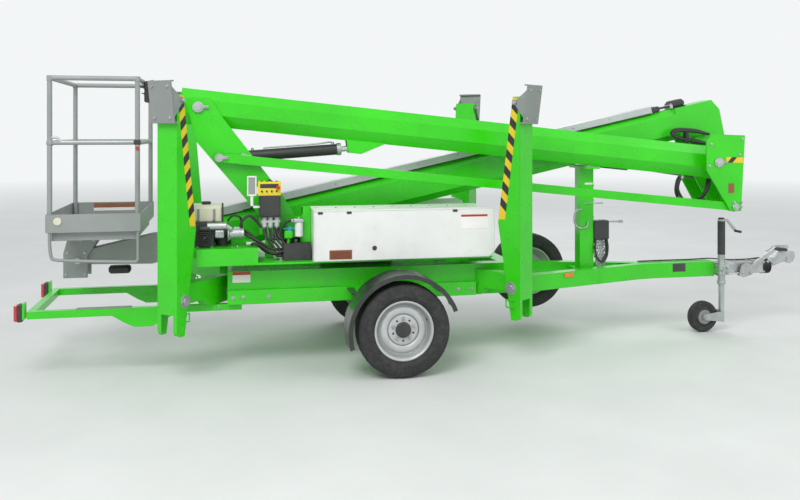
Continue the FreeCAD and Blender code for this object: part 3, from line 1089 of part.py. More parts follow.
def machinery():
    """Engine on its tray with the tank above, and the controls on their stand with the valve box below."""
    middle_y = "(engineY + 150)"
    engine = box(("engineLong", "300", "180"), ("deckRearX - 15", "engineY", "trayZ"))
    start = "(deckRearX - 15 + engineLong)"
    members = [
        engine,
        cylinder("72", "46", (start, middle_y, "trayZ + 90"), "X"),
        cylinder("48", "104", (start, f"{middle_y} - 40", "trayZ + 96"), "X"),
        cylinder("36", "70", (f"{start} + 60", f"{middle_y} - 40", "trayZ"), "Z"),
        box(("110", "120", "60"), (f"{start} + 10", f"{middle_y} + 10", "trayZ")),
    ]
    keep(fuse("engine", members), "engine")
    keep(slab("fuel_tank", "YZ_Plane", [[
        ("-tankWide / 2", "0"), ("tankWide / 2", "0"),
        ("tankWide / 2", "tankHigh - 25"), ("tankWide / 2 - 25", "tankHigh"),
        ("-tankWide / 2 + 25", "tankHigh"), ("-tankWide / 2", "tankHigh - 25"),
    ]], "tankLong", ("deckRearX + tankLong / 2 - 45", f"{middle_y}", "trayZ + 180")), "fuel_tank")
    keep(fuse("control_stand", [
        box(("60", "50", "standHigh - deckZ"), ("controlX + 40", "controlY + 50", "deckZ")),
        box(("140", "110", "8"), ("controlX", "controlY + 20", "deckZ")),
        box(("140", "8", "130"), ("controlX", "controlY + 92", "standHigh - 130")),
    ]), "control_stand")
    keep(box(("148", "150", "156"), ("controlX", "controlY", "standHigh")), "control_box")
    keep(box(("163", "124", "100"), ("controlX - 12", "controlY + 10", "standHigh + 156")), "control_panel")
    keep(slab("valve_box", "XZ_Plane", [[
        ("0", "0"), ("valveLong", "0"), ("valveLong", "valveHigh - 22"), ("valveLong - 22", "valveHigh"),
        ("0", "valveHigh"),
    ]], "150", ("controlX + 165", "controlY + 20", "deckZ")), "valve_box")


def boom_rest():
    """Post on the drawbar whose saddle has a pad just under each boom."""
    under_lower = ("(rootPinZ - (restX + restWide / 2 - rootPinX) * tan(lowerSlope)"
                   " - lowerDeep / 2 / cos(lowerSlope) - restFit)")
    under_upper = ("(upperZ - (upperX - restX + restWide / 2) * tan(upperSlope)"
                   " + upperLow / cos(upperSlope) - restFit)")
    top = f"min({under_lower}; {under_upper})"
    foot_z = "(drawbarTopZ - drawbarDeep + 100)"
    tall = f"({top} - restPad - {foot_z})"
    half, wall = "restWide / 2", "beamWall"
    members = [
        slab("rest_post", "XY_Plane", [
            rectangle("restWide", "postDeep", "-postDeep / 2"),
            rectangle(f"restWide - 2 * {wall}", f"postDeep - 2 * {wall}", f"{wall} - postDeep / 2"),
        ], tall, ("restX", "(lowerY + upperY) / 2", f"{foot_z} + {tall} / 2")),
        box(("restWide", "upperY - lowerY + 120", "restPad"),
            (f"restX - {half}", "lowerY - 60", f"{top} - restPad")),
    ]
    for y, high in (("lowerY", under_lower), ("upperY", under_upper)):
        members.append(box(("restWide", "110", f"{high} - {top} + restPad / 2"),
                           (f"restX - {half}", f"{y} - 55", f"{top} - restPad / 2")))
    keep(fuse("boom_rest", members), "boom_rest")


road_wheels()
axle()
mudguards()
chassis()
outriggers()
drawbar()
hitch()
jockey()
rear_frame()
turret()
king_post()
lower_boom()
tie_rod()
knuckle()
upper_boom()
fly_boom()
rams()
basket()
covers()
machinery()
boom_rest()

doc.recompute()
for obj in doc.Objects:
    if "Invalid" in obj.State or "Error" in obj.State:
        raise RuntimeError(f"{obj.Label} failed: {obj.State}")
os.makedirs("parts", exist_ok=True)
for obj in PIECES:
    shape = obj.Shape
    if shape.isNull() or not shape.isValid():
        raise RuntimeError(f"{obj.Label} has no valid shape")
    shape.exportStep(os.path.join("parts", obj.Label + ".step"))
    print(obj.Label, len(shape.Solids), round(shape.Volume))
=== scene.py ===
import bmesh
import bpy
import json
import math
from itertools import product
from mathutils import Matrix, Vector


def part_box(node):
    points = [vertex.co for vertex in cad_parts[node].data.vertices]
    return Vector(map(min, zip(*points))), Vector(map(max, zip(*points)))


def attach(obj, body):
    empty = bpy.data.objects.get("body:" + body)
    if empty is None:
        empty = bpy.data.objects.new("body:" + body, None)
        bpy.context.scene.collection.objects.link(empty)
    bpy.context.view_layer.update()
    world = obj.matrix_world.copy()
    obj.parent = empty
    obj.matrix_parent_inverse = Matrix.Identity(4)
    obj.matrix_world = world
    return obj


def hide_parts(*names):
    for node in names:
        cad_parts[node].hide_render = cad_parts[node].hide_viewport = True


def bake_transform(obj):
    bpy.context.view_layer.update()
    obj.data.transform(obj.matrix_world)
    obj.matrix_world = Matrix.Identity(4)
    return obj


# Looks of the towable articulating boom lift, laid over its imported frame.
# Metres, in the row frame: +X forward, +Y left, +Z up, with the ground at zero.

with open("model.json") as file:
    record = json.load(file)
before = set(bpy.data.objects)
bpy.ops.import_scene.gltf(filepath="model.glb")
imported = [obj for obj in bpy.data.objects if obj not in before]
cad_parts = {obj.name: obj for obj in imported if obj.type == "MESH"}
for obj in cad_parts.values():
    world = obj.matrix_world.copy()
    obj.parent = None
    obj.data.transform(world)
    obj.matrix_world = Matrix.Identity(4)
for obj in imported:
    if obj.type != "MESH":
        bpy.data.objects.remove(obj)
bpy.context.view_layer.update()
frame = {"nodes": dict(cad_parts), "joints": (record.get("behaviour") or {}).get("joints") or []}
NODES = frame["nodes"]

AXLE_X = (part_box("tyre_right")[0].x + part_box("tyre_right")[1].x) / 2

# Colours that several materials share
DIRT = (0.22, 0.20, 0.15)
SILVER = (0.52, 0.54, 0.54)
BACKGROUND = (0.90, 0.92, 0.93)


def axle(x, y, z):
    """A point measured from the axle in millimetres, in the row frame in metres."""
    return Vector((AXLE_X + x / 1000, y / 1000, z / 1000))


class Graph:
    """A material's nodes, added by type and linked by name."""

    def __init__(self, name):
        self.material = bpy.data.materials.new(name)
        self.material.use_nodes = True
        self.tree = self.material.node_tree
        self.shader = self.tree.nodes["Principled BSDF"]
        self.place = self.add("ShaderNodeTexCoord").outputs["Object"]

    def add(self, kind, settings=None, **inputs):
        node = self.tree.nodes.new(kind)
        for key, value in (settings or {}).items():
            setattr(node, key, value)
        for key, value in inputs.items():
            self.put(node.inputs[key.replace("_", " ")], value)
        return node

    def put(self, socket, value):
        if isinstance(value, bpy.types.NodeSocket):
            self.tree.links.new(value, socket)
        elif isinstance(value, tuple) and len(value) == 3 and socket.type == "RGBA":
            socket.default_value = (*value, 1)
        else:
            socket.default_value = value

    def noise(self, scale, detail=3, rough=0.55, where=None):
        node = self.add("ShaderNodeTexNoise", Scale=scale, Detail=detail, Roughness=rough)
        self.put(node.inputs["Vector"], where or self.place)
        return node.outputs["Fac"]

    def ramp(self, value, low, high, start=0.0, end=1.0):
        """A number that goes from start to end as value goes from low to high."""
        node = self.add("ShaderNodeMapRange", Value=value)
        for key, number in (("From Min", low), ("From Max", high), ("To Min", start), ("To Max", end)):
            node.inputs[key].default_value = number
        return node.outputs["Result"]

    def mix(self, share, first, second):
        node = self.add("ShaderNodeMix", {"data_type": "RGBA"})
        self.put(node.inputs["Factor"], share)
        self.put(node.inputs[6], first)
        self.put(node.inputs[7], second)
        return node.outputs[2]

    def math(self, work, first, second=0.0):
        node = self.add("ShaderNodeMath", {"operation": work})
        self.put(node.inputs[0], first)
        self.put(node.inputs[1], second)
        return node.outputs[0]

    def bump(self, height, strength, normal=None):
        node = self.add("ShaderNodeBump", Height=height, Strength=strength, Distance=0.001)
        if normal:
            self.put(node.inputs["Normal"], normal)
        return node.outputs["Normal"]

    def tint(self, colour, amount):
        node = self.add("ShaderNodeVectorMath", {"operation": "SCALE"}, Scale=amount)
        node.inputs[0].default_value = colour
        return node.outputs[0]

    def round_edge(self, radius):
        return self.add("ShaderNodeBevel", {"samples": 3}, Radius=radius).outputs["Normal"]

    def height(self):
        node = self.add("ShaderNodeSeparateXYZ")
        self.put(node.inputs[0], self.place)
        return node.outputs["Z"]

    def finish(self, **inputs):
        for key, value in inputs.items():
            self.put(self.shader.inputs[key.replace("_", " ")], value)
        return self.material


def worn(name, colour, rough, bare, dust=0.25, coat=0.0, metal=0.0, grain=420.0, grain_depth=0.03, variety=0.10):
    """A painted, moulded or plated surface: colour drift, dust from below, rubbed edges and a fine grain."""
    g = Graph(name)
    tint = g.tint(colour, g.ramp(g.noise(2.3, 4), 0.3, 0.7, 1 - variety, 1 + variety))
    low = g.ramp(g.height(), 0.1, 1.2, 1.0, 0.15)
    cloud = g.ramp(g.noise(7.0, 6, 0.7), 0.45, 0.8)
    dusty = g.mix(g.math("MULTIPLY", g.math("MULTIPLY", low, cloud), dust), tint, DIRT)
    round_edge = g.round_edge(0.004)
    facing = g.add("ShaderNodeVectorMath", {"operation": "DOT_PRODUCT"})
    g.put(facing.inputs[0], round_edge)
    g.put(facing.inputs[1], g.add("ShaderNodeNewGeometry").outputs["Normal"])
    edge = g.ramp(facing.outputs["Value"], 0.97, 0.80)
    rubbed = g.math("MULTIPLY", edge, g.ramp(g.noise(30.0, 5, 0.7), 0.5, 0.75))
    finish = g.mix(g.math("MULTIPLY", rubbed, 0.6), dusty, bare)
    gloss = g.ramp(g.noise(9.0, 5, 0.65), 0.3, 0.7, rough - 0.07, rough + 0.1)
    return g.finish(Base_Color=finish, Roughness=gloss, Normal=g.bump(g.noise(grain, 2), grain_depth, round_edge),
                    Metallic=metal, Coat_Weight=coat, Coat_Roughness=0.12)


def tyre_rubber(name):
    g = Graph(name)
    dusty = g.math("MULTIPLY", g.ramp(g.noise(24.0, 6, 0.7), 0.45, 0.8), 0.35)
    colour = g.mix(dusty, (0.022, 0.022, 0.023), (0.11, 0.105, 0.095))
    rough = g.ramp(g.noise(40.0, 4), 0.3, 0.7, 0.62, 0.85)
    return g.finish(Base_Color=colour, Roughness=rough, Normal=g.bump(g.noise(500.0, 3), 0.15))


def plated(name, colour, rough, spangle=18.0):
    """Galvanised or plated steel: patches of slightly different tone, with dull streaks."""
    g = Graph(name)
    cells = g.add("ShaderNodeTexVoronoi", Scale=spangle, Vector=g.place)
    tint = g.tint(colour, g.ramp(cells.outputs["Color"], 0.0, 1.0, 0.82, 1.08))
    base = g.mix(g.ramp(g.noise(6.0, 6, 0.7), 0.42, 0.72, 0.0, 0.45), tint, (0.30, 0.30, 0.28))
    gloss = g.ramp(g.noise(20.0, 5, 0.6), 0.3, 0.7, rough - 0.08, rough + 0.15)
    grain = g.bump(g.noise(350.0, 3), 0.06, g.round_edge(0.002))
    return g.finish(Base_Color=base, Roughness=gloss, Metallic=0.75, Normal=grain)


# Each finish, with its colour as it should look under plain light, its roughness and the tone of its rubbed edges
MATERIALS = {
    "green": worn("green_gloss_paint", (0.030, 0.60, 0.002), 0.30, (0.020, 0.45, 0.002), 0.22, 0.18),
    "grey": worn("grey_basket_paint", (0.30, 0.32, 0.31), 0.48, SILVER, 0.30, grain_depth=0.05),
    "foot": worn("grey_foot_plate", (0.26, 0.28, 0.27), 0.5, SILVER, metal=0.2, grain=180.0, grain_depth=0.08),
    "black": worn("black_chassis_paint", (0.028, 0.028, 0.030), 0.42, (0.12, 0.11, 0.10), 0.5),
    "plastic": worn("black_moulded_plastic", (0.035, 0.035, 0.037), 0.55, (0.10, 0.10, 0.10), 0.3, grain=700.0,
                    grain_depth=0.12),
    "silver": worn("silver_wheel_enamel", SILVER, 0.38, (0.20, 0.14, 0.09), 0.35, metal=0.25),
    "zinc": plated("galvanised_steel", (0.50, 0.53, 0.53), 0.42),
    "chrome": plated("chromed_rod", (0.70, 0.71, 0.72), 0.16, 4.0),
    "alloy": worn("silver_hose_tray", (0.50, 0.53, 0.53), 0.40, (0.7, 0.7, 0.7), 0.2, metal=0.35),
    "tyre": tyre_rubber("tyre_rubber"),
    "white": worn("white_cover_gelcoat", (0.80, 0.81, 0.79), 0.34, (0.55, 0.55, 0.52), 0.35, 0.2, variety=0.03),
    "cream": worn("cream_tank_plastic", (0.72, 0.68, 0.54), 0.42, (0.5, 0.46, 0.36), 0.3),
    "lamp": worn("red_lamp_lens", (0.50, 0.02, 0.015), 0.18, (0.3, 0.02, 0.02), 0.2, 0.6),
    "iron": worn("dark_engine_castings", (0.07, 0.07, 0.07), 0.55, (0.3, 0.3, 0.3), 0.5, metal=0.3, grain=120.0,
                 grain_depth=0.25),
    "tape_yellow": worn("yellow_warning_tape", (0.78, 0.56, 0.02), 0.4, (0.4, 0.33, 0.1), grain_depth=0.02),
    "tape_black": worn("black_warning_tape", (0.02, 0.02, 0.02), 0.4, (0.1, 0.1, 0.1), grain_depth=0.02),
    "plate_white": worn("white_blank_plate", (0.86, 0.84, 0.82), 0.5, (0.5, 0.5, 0.48), grain_depth=0.01),
    "guard": worn("black_guard_plastic", (0.018, 0.020, 0.021), 0.34, (0.10, 0.10, 0.10), coat=0.35),
    "plate_red": worn("red_blank_plate", (0.50, 0.03, 0.02), 0.35, (0.3, 0.1, 0.1), grain_depth=0.01),
    "cyan": worn("blue_fitting", (0.03, 0.30, 0.52), 0.35, (0.3, 0.4, 0.45)),
    "amber": worn("amber_reflector", (0.75, 0.22, 0.02), 0.2, (0.5, 0.2, 0.02), coat=0.5),
    "yellow": worn("yellow_paint", (0.80, 0.62, 0.03), 0.4, (0.4, 0.33, 0.1)),
    "red": worn("red_paint", (0.55, 0.03, 0.02), 0.38, (0.3, 0.05, 0.04)),
    "hose": worn("black_hose_rubber", (0.02, 0.02, 0.02), 0.48, (0.06, 0.06, 0.06), grain=900.0, grain_depth=0.2),
    "brown": worn("brown_fabric_guard", (0.28, 0.10, 0.05), 0.7, (0.2, 0.1, 0.06)),
}

# Which finish each CAD node shows, by the start of its name
FINISHES = (
    ("tyre_", "tyre"), ("spare_tyre", "tyre"), ("jockey_wheel", "tyre"), ("rim_", "silver"), ("spare_rim", "silver"),
    ("axle", "black"), ("mudguards", "guard"), ("hitch_tube", "zinc"), ("coupling_head", "zinc"),
    ("brake_lever", "zinc"), ("jockey_", "zinc"), ("tail_lamps", "lamp"), ("slew_ring", "black"),
    ("hose_tray", "alloy"), ("fly_boom", "grey"), ("basket_console", "plastic"), ("basket_", "grey"),
    ("foot_", "foot"), ("cover_", "white"), ("door_", "white"), ("batteries", "plastic"), ("engine", "iron"),
    ("fuel_tank", "cream"), ("control_box", "plastic"), ("control_panel", "yellow"), ("valve_box", "plastic"),
    ("lower_ram_rod", "chrome"), ("upper_ram_rod", "chrome"),
    ("lower_ram_barrel", "black"), ("upper_ram_barrel", "black"),
)


def dress_frame():
    for name, node in NODES.items():
        finish = next((finish for start, finish in FINISHES if name.startswith(start)), "green")
        node.data.materials.clear()
        node.data.materials.append(MATERIALS[finish])


PINS = {joint["name"]: Vector(joint["pos_m"]) for joint in frame["joints"] if "pos_m" in joint}


def frame_at(point, turn=0.0, about="Y"):
    """A frame in millimetres at a point in metres, turned about one axis by some degrees."""
    return Matrix.Translation(point) @ Matrix.Scale(0.001, 4) @ Matrix.Rotation(math.radians(turn), 4, about)


def from_pin(joint, turn=0.0, about="Y"):
    return frame_at(PINS[joint], turn, about)


LOWER_SLOPE, UPPER_SLOPE = 5.94, 12.509
ROW = frame_at((AXLE_X, 0, 0))
LOWER = from_pin("lower_lift", LOWER_SLOPE)
UPPER = from_pin("upper_lift", -UPPER_SLOPE)
KNUCKLE = from_pin("knuckle_level")
BASKET = from_pin("basket_level")
# The frame in which a body's pieces are drawn, where it isn't the axle's
FRAMES = {"lower_arm": LOWER, "upper_arm": UPPER, "knuckle_head": KNUCKLE, "work_basket": BASKET}

# Each outrigger: its name, the sign of X and of Y there, and how far its swing plane is turned
LEGS = (("rear_right", -1, -1, -128.0), ("rear_left", -1, 1, 128.0),
        ("front_right", 1, -1, -52.0), ("front_left", 1, 1, 52.0))
SIDES = (("right", -1), ("left", 1))
WAYS = (-1, 1)
UP, AHEAD, RIGHT = (0, 0, 1), (1, 0, 0), (0, -1, 0)
CENTRE = (0, 0, 0)


def spokes(degrees):
    """Cosine and sine of each angle."""
    return [(math.cos(math.radians(d)), math.sin(math.radians(d))) for d in degrees]


def circle(count, first=0.0):
    """Cosine and sine of even steps round a circle."""
    return spokes(first + 360 * i / count for i in range(count))


def grid(*sides):
    """All points whose coordinates are taken from these numbers, or rows of numbers."""
    return product(*(side if hasattr(side, "__iter__") else (side,) for side in sides))


def ring_round(centre, axis, radius, sides):
    """Points of a circle about an axis."""
    axis = Vector(axis).normalized()
    first = axis.orthogonal().normalized()
    second = axis.cross(first)
    return [Vector(centre) + radius * (c * first + s * second) for c, s in circle(sides)]


def smooth_line(points, steps=8):
    """Points of a curve that runs through the given points without corners."""
    points = [Vector(p) for p in points]
    ends = [2 * points[0] - points[1]] + points + [2 * points[-1] - points[-2]]
    line = []
    for before, start, end, after in zip(ends, ends[1:], ends[2:], ends[3:]):
        for step in range(steps):
            t = step / steps
            line.append(0.5 * (2 * start + (end - before) * t + (2 * before - 5 * start + 4 * end - after) * t * t
                               + (3 * start - before - 3 * end + after) * t * t * t))
    return line + [points[-1]]


class Shape:
    """One piece's mesh, put together from rows of simple solids in millimetres."""

    def __init__(self, blocks=(), prisms=(), bars=(), turned=(), pipes=(), nuts=()):
        self.mesh = bmesh.new()
        for build, rows in ((self.block, blocks), (self.prism, prisms), (self.bar, bars), (self.turned, turned),
                            (self.pipe, pipes)):
            for row in rows:
                build(*row)
        for places, *kind in nuts:
            for at in places:
                self.nut(at, *kind)

    def loft(self, rings, closed=False):
        """A skin over rings of equal count, with its ends filled or joined to each other."""
        rows = [[self.mesh.verts.new(point) for point in ring] for ring in rings]
        count = len(rows[0])
        for one, two in zip(rows, rows[1:] + (rows[:1] if closed else [])):
            for i in range(count):
                j = (i + 1) % count
                self.mesh.faces.new((one[i], one[j], two[j], two[i]))
        if not closed:
            self.mesh.faces.new(rows[0][::-1])
            self.mesh.faces.new(rows[-1])
        return self

    def block(self, low, high, cut=3.0):
        """A box between two corners, with its edges cut off."""
        (x0, x1), (y0, y1), (z0, z1) = (sorted(pair) for pair in zip(low, high))
        cut = min(cut, (x1 - x0) / 2.5, (y1 - y0) / 2.5, (z1 - z0) / 2.5)

        def ring(z, inset):
            a, b, c, d = x0 + inset, x1 - inset, y0 + inset, y1 - inset
            return [(a + cut, c, z), (b - cut, c, z), (b, c + cut, z), (b, d - cut, z),
                    (b - cut, d, z), (a + cut, d, z), (a, d - cut, z), (a, c + cut, z)]

        small = cut * 0.6
        return self.loft([ring(z0, small), ring(z0 + cut, 0), ring(z1 - cut, 0), ring(z1, small)])

    def prism(self, outline, along, low, high):
        """An outline pushed along one axis; its points give the other two coordinates in order."""
        def lift(point, level):
            coordinates = list(point)
            coordinates.insert("XYZ".index(along), level)
            return coordinates

        return self.loft([[lift(point, low) for point in outline], [lift(point, high) for point in outline]])

    def bar(self, start, end, radius, sides=24, cut=None):
        """A round or many sided bar with a small cut at each end."""
        start, end = Vector(start), Vector(end)
        axis = end - start
        cut = min(radius * 0.12, axis.length * 0.2) if cut is None else cut
        step = axis.normalized() * cut
        return self.loft([ring_round(at, axis, size, sides) for at, size in (
            (start, radius - cut), (start + step, radius), (end - step, radius), (end, radius - cut))])

    def turned(self, profile, at, axis, sides=64, closed=False):
        """A profile of radius and place along the axis, turned about it."""
        axis = Vector(axis).normalized()
        rings = [ring_round(Vector(at) + axis * along, axis, max(radius, 0.05), sides) for radius, along in profile]
        return self.loft(rings, closed=closed)

    def pipe(self, points, radius, steps=8):
        """A round pipe or hose along a smooth line through the points."""
        line = smooth_line(points, steps)
        rings = []
        side = (line[1] - line[0]).orthogonal().normalized()
        for before, point, after in zip(line[:1] + line, line, line[1:] + line[-1:]):
            ahead = (after - before).normalized()
            side = (side - ahead * side.dot(ahead)).normalized()
            other = ahead.cross(side)
            rings.append([point + radius * (c * side + s * other) for c, s in circle(12)])
        return self.loft(rings)

    def nut(self, at, axis, across, thick):
        """A hexagon head on a washer, standing on its surface along the axis."""
        washer, corner = 1.5, 0.577
        at, axis = Vector(at), Vector(axis).normalized()
        under, top = at + axis * washer, at + axis * (washer + thick)
        self.bar(at, under, across * 0.72)
        self.bar(under, top, across * corner, 6)
        return self.bar(top, at + axis * (washer + thick * 1.25), across * 0.3, 16)

    def done(self, name, finish, body="trailer", place=None, smooth=30.5, replaces=()):
        """Turn the mesh into a named piece that rides on a body."""
        bmesh.ops.recalc_face_normals(self.mesh, faces=self.mesh.faces)
        mesh = bpy.data.meshes.new(name)
        self.mesh.to_mesh(mesh)
        self.mesh.free()
        mesh.transform(FRAMES.get(body, ROW) if place is None else place)
        mesh.shade_smooth()
        mesh.set_sharp_from_angle(angle=math.radians(smooth))
        mesh.materials.append(MATERIALS[finish])
        obj = bpy.data.objects.new(name, mesh)
        bpy.context.collection.objects.link(obj)
        if body:
            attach(obj, body)
        if replaces:
            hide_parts(*replaces)
        return obj


TYRE_SIDE = ((197, 66), (203, 69), (209, 70), (213, 75), (218, 82), (226, 88), (240, 94), (244, 95.2), (246, 94.4),
             (262, 97), (276, 95.8), (290, 93), (302, 89), (311, 84.5), (317, 80), (320.5, 75))
TREAD_RADIUS, TREAD_CROWN, TREAD_HALF, GROOVE_DEEP = 327, 6.0, 75.0, 7.0
GROOVES = ((56, 50), (24, 17))
TYRE_STEPS, STEPS_PER_CUT = 180, 4


def tyre_rows():
    """Rows across the tyre: radius, place and how deep its cross cuts go there."""
    def tread(z):
        return TREAD_RADIUS - TREAD_CROWN * (z / TREAD_HALF) ** 2

    rows = [(radius, z, 0.0) for radius, z in TYRE_SIDE]
    rows.append((tread(70), 70, 5.0))
    for outer, inner in GROOVES:
        rows += [(tread(outer + 1), outer + 1, 4.0), (tread(outer) - GROOVE_DEEP, outer, 0.0),
                 (tread(inner) - GROOVE_DEEP, inner, 0.0), (tread(inner - 1), inner - 1, 2.5)]
    return rows + [(radius, -z, deep) for radius, z, deep in reversed(rows)]


def wheel_frame(centre, sign):
    """A wheel's own frame: its axis along Z, outwards."""
    return frame_at(centre, -90 * sign, "X")


def tyre(name, node, centre, sign, body):
    """A road tyre with ribs, cross cuts and a rounded side wall, in the place of its plain solid."""
    rings = []
    for radius, z, deep in tyre_rows():
        sizes = [radius - (0 if i % STEPS_PER_CUT else deep) for i in range(TYRE_STEPS)]
        rings.append([(size * c, size * s, z) for size, (c, s) in zip(sizes, circle(TYRE_STEPS))])
    Shape().loft(rings, closed=True).done(name, "tyre", body, wheel_frame(centre, sign), 35, [node])


# Radius and place along the axis of the pressed steel wheel, from its outer flange round to the inner one
RIM_FACE = ((207, 71), (208, 74), (205, 75), (199, 74.5), (194, 71), (191, 65), (189, 57), (187, 47), (178, 40),
            (172, 33), (168, 25), (165.5, 24), (162, 29), (156, 34.5), (148, 38.5), (139, 40.2), (129, 40.2),
            (120, 38), (113, 34), (109.5, 30.4), (107, 30), (104.5, 31.5), (98, 33), (80, 33), (60, 33), (40, 33))
RIM_BACK = ((40, 20), (100, 20), (112, 22), (130, 28), (150, 26), (164, 8), (168, -18), (174, -24), (184, -40),
            (188, -58), (191, -66), (199, -74.5), (205, -75), (208, -74), (207, -71), (196.2, -69), (195.8, -34),
            (174, -20), (174, 20), (195.8, 34), (196.2, 69))
STUD_CIRCLE, STUDS = 75.0, 5
# Thin grey rings laid in the wheel's gutter and in the crease round its centre: painted shade for those recesses
GUTTER_SHADE_RING = ((171.6, 33.6), (178.2, 40.6), (187.4, 47.6), (186.8, 49.6), (177.6, 42.2), (170.8, 34.8))
CREASE_SHADE_RING = ((112.6, 33.4), (109.6, 30.6), (107, 30.2), (104.4, 31.8), (104.6, 32.6), (107, 31.2), (109.4, 31.6),
        (112.2, 34.2))
HUB_CAP = ((0, 33), (53, 33), (54, 36), (53, 47), (49, 50), (30, 51.5), (0, 52))
DRUM = ((0, -40), (118, -40), (120, -38), (120, 3), (118, 5), (60, 5), (58, 22), (0, 22))


def rim(name, node, centre, sign, body, cap=True):
    """A pressed steel wheel, its studs, hub cap and drum, in the place of the plain rim."""
    place = wheel_frame(centre, sign)
    Shape(turned=[(RIM_FACE + RIM_BACK, CENTRE, UP, 96, True)]).done(name, "silver", body, place, 28, [node])
    # Painted shade: thin grey rings in the gutter and in the crease round the centre
    Shape(turned=[(line, CENTRE, UP, 96, True) for line in (GUTTER_SHADE_RING, CREASE_SHADE_RING)]).done(name + "_painted_groove_shade", "foot", body, place)
    studs = [(STUD_CIRCLE * c, STUD_CIRCLE * s, 32.5) for c, s in circle(STUDS, 90)]
    Shape(nuts=[(studs, UP, 19, 9)]).done(name + "_studs", "zinc", body, place)
    # Black discs between the studs are painted shade standing for the holes in the disc; the bar at x, y is the tyre
    # valve
    x, y = 176 * math.cos(0.4), 176 * math.sin(0.4)
    valve_and_hole_shade = Shape(bars=[((STUD_CIRCLE * c, STUD_CIRCLE * s, 32.2), (STUD_CIRCLE * c, STUD_CIRCLE * s, 33.4), 8, 20, 0.3)
                       for c, s in circle(STUDS, 54)] + [((x, y, 38), (x - 2, y - 1, 66), 4, 12)])
    valve_and_hole_shade.done(name + "_valve", "plastic", body, place)
    if cap:
        Shape(turned=[(HUB_CAP, CENTRE, UP, 48)]).done(name + "_hub_cap", "plastic", body, place)
        Shape(turned=[(DRUM, CENTRE, UP)]).done(name + "_drum", "iron", body, place)


def wheels():
    for side, sign in SIDES:
        at, body = PINS[f"road_wheel_{side}_spin"], f"road_wheel_{side}"
        tyre(f"tread_tyre_{side}", f"tyre_{side}", at, sign, body)
        rim(f"pressed_wheel_{side}", f"rim_{side}", at, sign, body)
    low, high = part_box("spare_tyre")
    tyre("spare_tread_tyre", "spare_tyre", (low + high) / 2, 1, "trailer")
    rim("spare_pressed_wheel", "spare_rim", (low + high) / 2, 1, "trailer", cap=False)
    low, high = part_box("jockey_wheel")
    place = wheel_frame((low + high) / 2, 1)
    hub = ((22, -41.5), (58, -41.5), (64, -36), (64, 36), (58, 41.5), (22, 41.5))
    Shape(turned=[(hub, CENTRE, UP, 48, True)]).done("jockey_hub", "foot", "jockey_roller", place, 30)
    nuts = Shape(nuts=[([(0, 0, 55 * way)], (0, 0, way), 26, 10) for way in WAYS])
    nuts.done("jockey_axle_nuts", "zinc", "jockey_swivel", place)


def hazard(name, body, start, end, across, out, place=ROW):
    """Warning tape along a face: a yellow strip with slanting black bands standing just above it."""
    start, end, across, out = (Vector(v) for v in (start, end, across, out))
    run = end - start
    length, wide = run.length, across.length
    run.normalize()
    side = across.normalized()
    out.normalize()
    thick, pitch, slant = 0.5, 2.05 * wide, wide * 0.9

    def strip(shape, corners, low, high):
        shape.loft([[start + run * a + side * b + out * level for a, b in corners] for level in (low, high)])

    yellow = Shape()
    strip(yellow, ((0, 0), (length, 0), (length, wide), (0, wide)), 0.1, thick)
    yellow.done(name + "_strip", "tape_yellow", body, place)
    black = Shape()
    at = pitch * 0.12
    while at + slant + pitch / 2 < length:
        strip(black, ((at, 0), (at + pitch / 2, 0), (at + pitch / 2 + slant, wide), (at + slant, wide)),
              thick - 0.1, thick + 0.3)
        at += pitch
    black.done(name + "_bands", "tape_black", body, place)


LEG_WIDE, LEG_OUT, LEG_TIP_IN, LEG_HIP_IN, LEG_TOE_IN = 168, 80, -18, 109, -4
LEG_HIP_Z, LEG_TIP_Z, LEG_TOE_Z = 470, 1390, -230
FOOT_PIN = (45, 0, 1345)

def outriggers():
    """Tape, pin heads, keepers and the little rings of the four legs, and the bolts of their feet."""
    slope = (LEG_HIP_IN - LEG_TIP_IN) / (LEG_TIP_Z - LEG_HIP_Z)
    half, top, low = LEG_WIDE / 2, LEG_TIP_Z - 8, LEG_HIP_Z + 26
    lean = Matrix.Rotation(math.radians(8), 3, "Y")
    near = -LEG_TOE_IN - (LEG_HIP_IN - LEG_TOE_IN) * 0.12
    z = LEG_TOE_Z + 92
    for name, ahead, sign, yaw in LEGS:
        body, place = f"leg_{name}", from_pin(f"{name}_outrigger_swing", yaw, "Z")
        face = ahead * sign
        edge = [(-LEG_TIP_IN - slope * (LEG_TIP_Z - z), face * half, z) for z in (top, low)]
        hazard(f"tape_{name}", body, edge[0], edge[1], (58, 0, 0), (0, face, 0), place)
        pins = Shape()
        for way in WAYS:
            out = Vector((0, way, 0))
            flat = out * half
            pins.bar(flat, flat + out * 6, 46, 40).bar(flat + out * 6, flat + out * 17, 27, 32)
            for x in (32, -32):
                pins.nut(flat + Vector((x, 0, 0)) + out * 5, out, 13, 6)
        pins.done(f"pivot_heads_{name}", "zinc", body, place)
        y = (half + 5.5) * face
        hoop = Shape(bars=[((near + 46, y, z + up), (near - 26, y, z + up), 5.5, 12) for up in (0, 52)]
                     + [((near - 26, y, z - 4), (near - 26, y, z + 56), 5.5, 12)])
        hoop.done(f"keeper_ring_{name}", "green", body, place)
        seams = Shape(bars=[((LEG_OUT - 3, way * (half - 2), LEG_TOE_Z + 60),
                             (LEG_OUT - 3, way * (half - 2), LEG_TIP_Z - 12), 3.2, 8) for way in WAYS])
        seams.done(f"corner_welds_{name}", "green", body, place)
        foot = Shape()
        for way in WAYS:
            foot.nut(Vector(FOOT_PIN) + Vector((0, way * 107, 0)), (0, way, 0), 22, 10)
        for at in grid(95, (-66, 66), (-104, 104)):
            foot.nut(Vector(FOOT_PIN) + lean @ Vector(at), lean @ Vector(AHEAD), 16, 7)
        foot.done(f"foot_bolts_{name}", "zinc", f"pad_{name}", place)


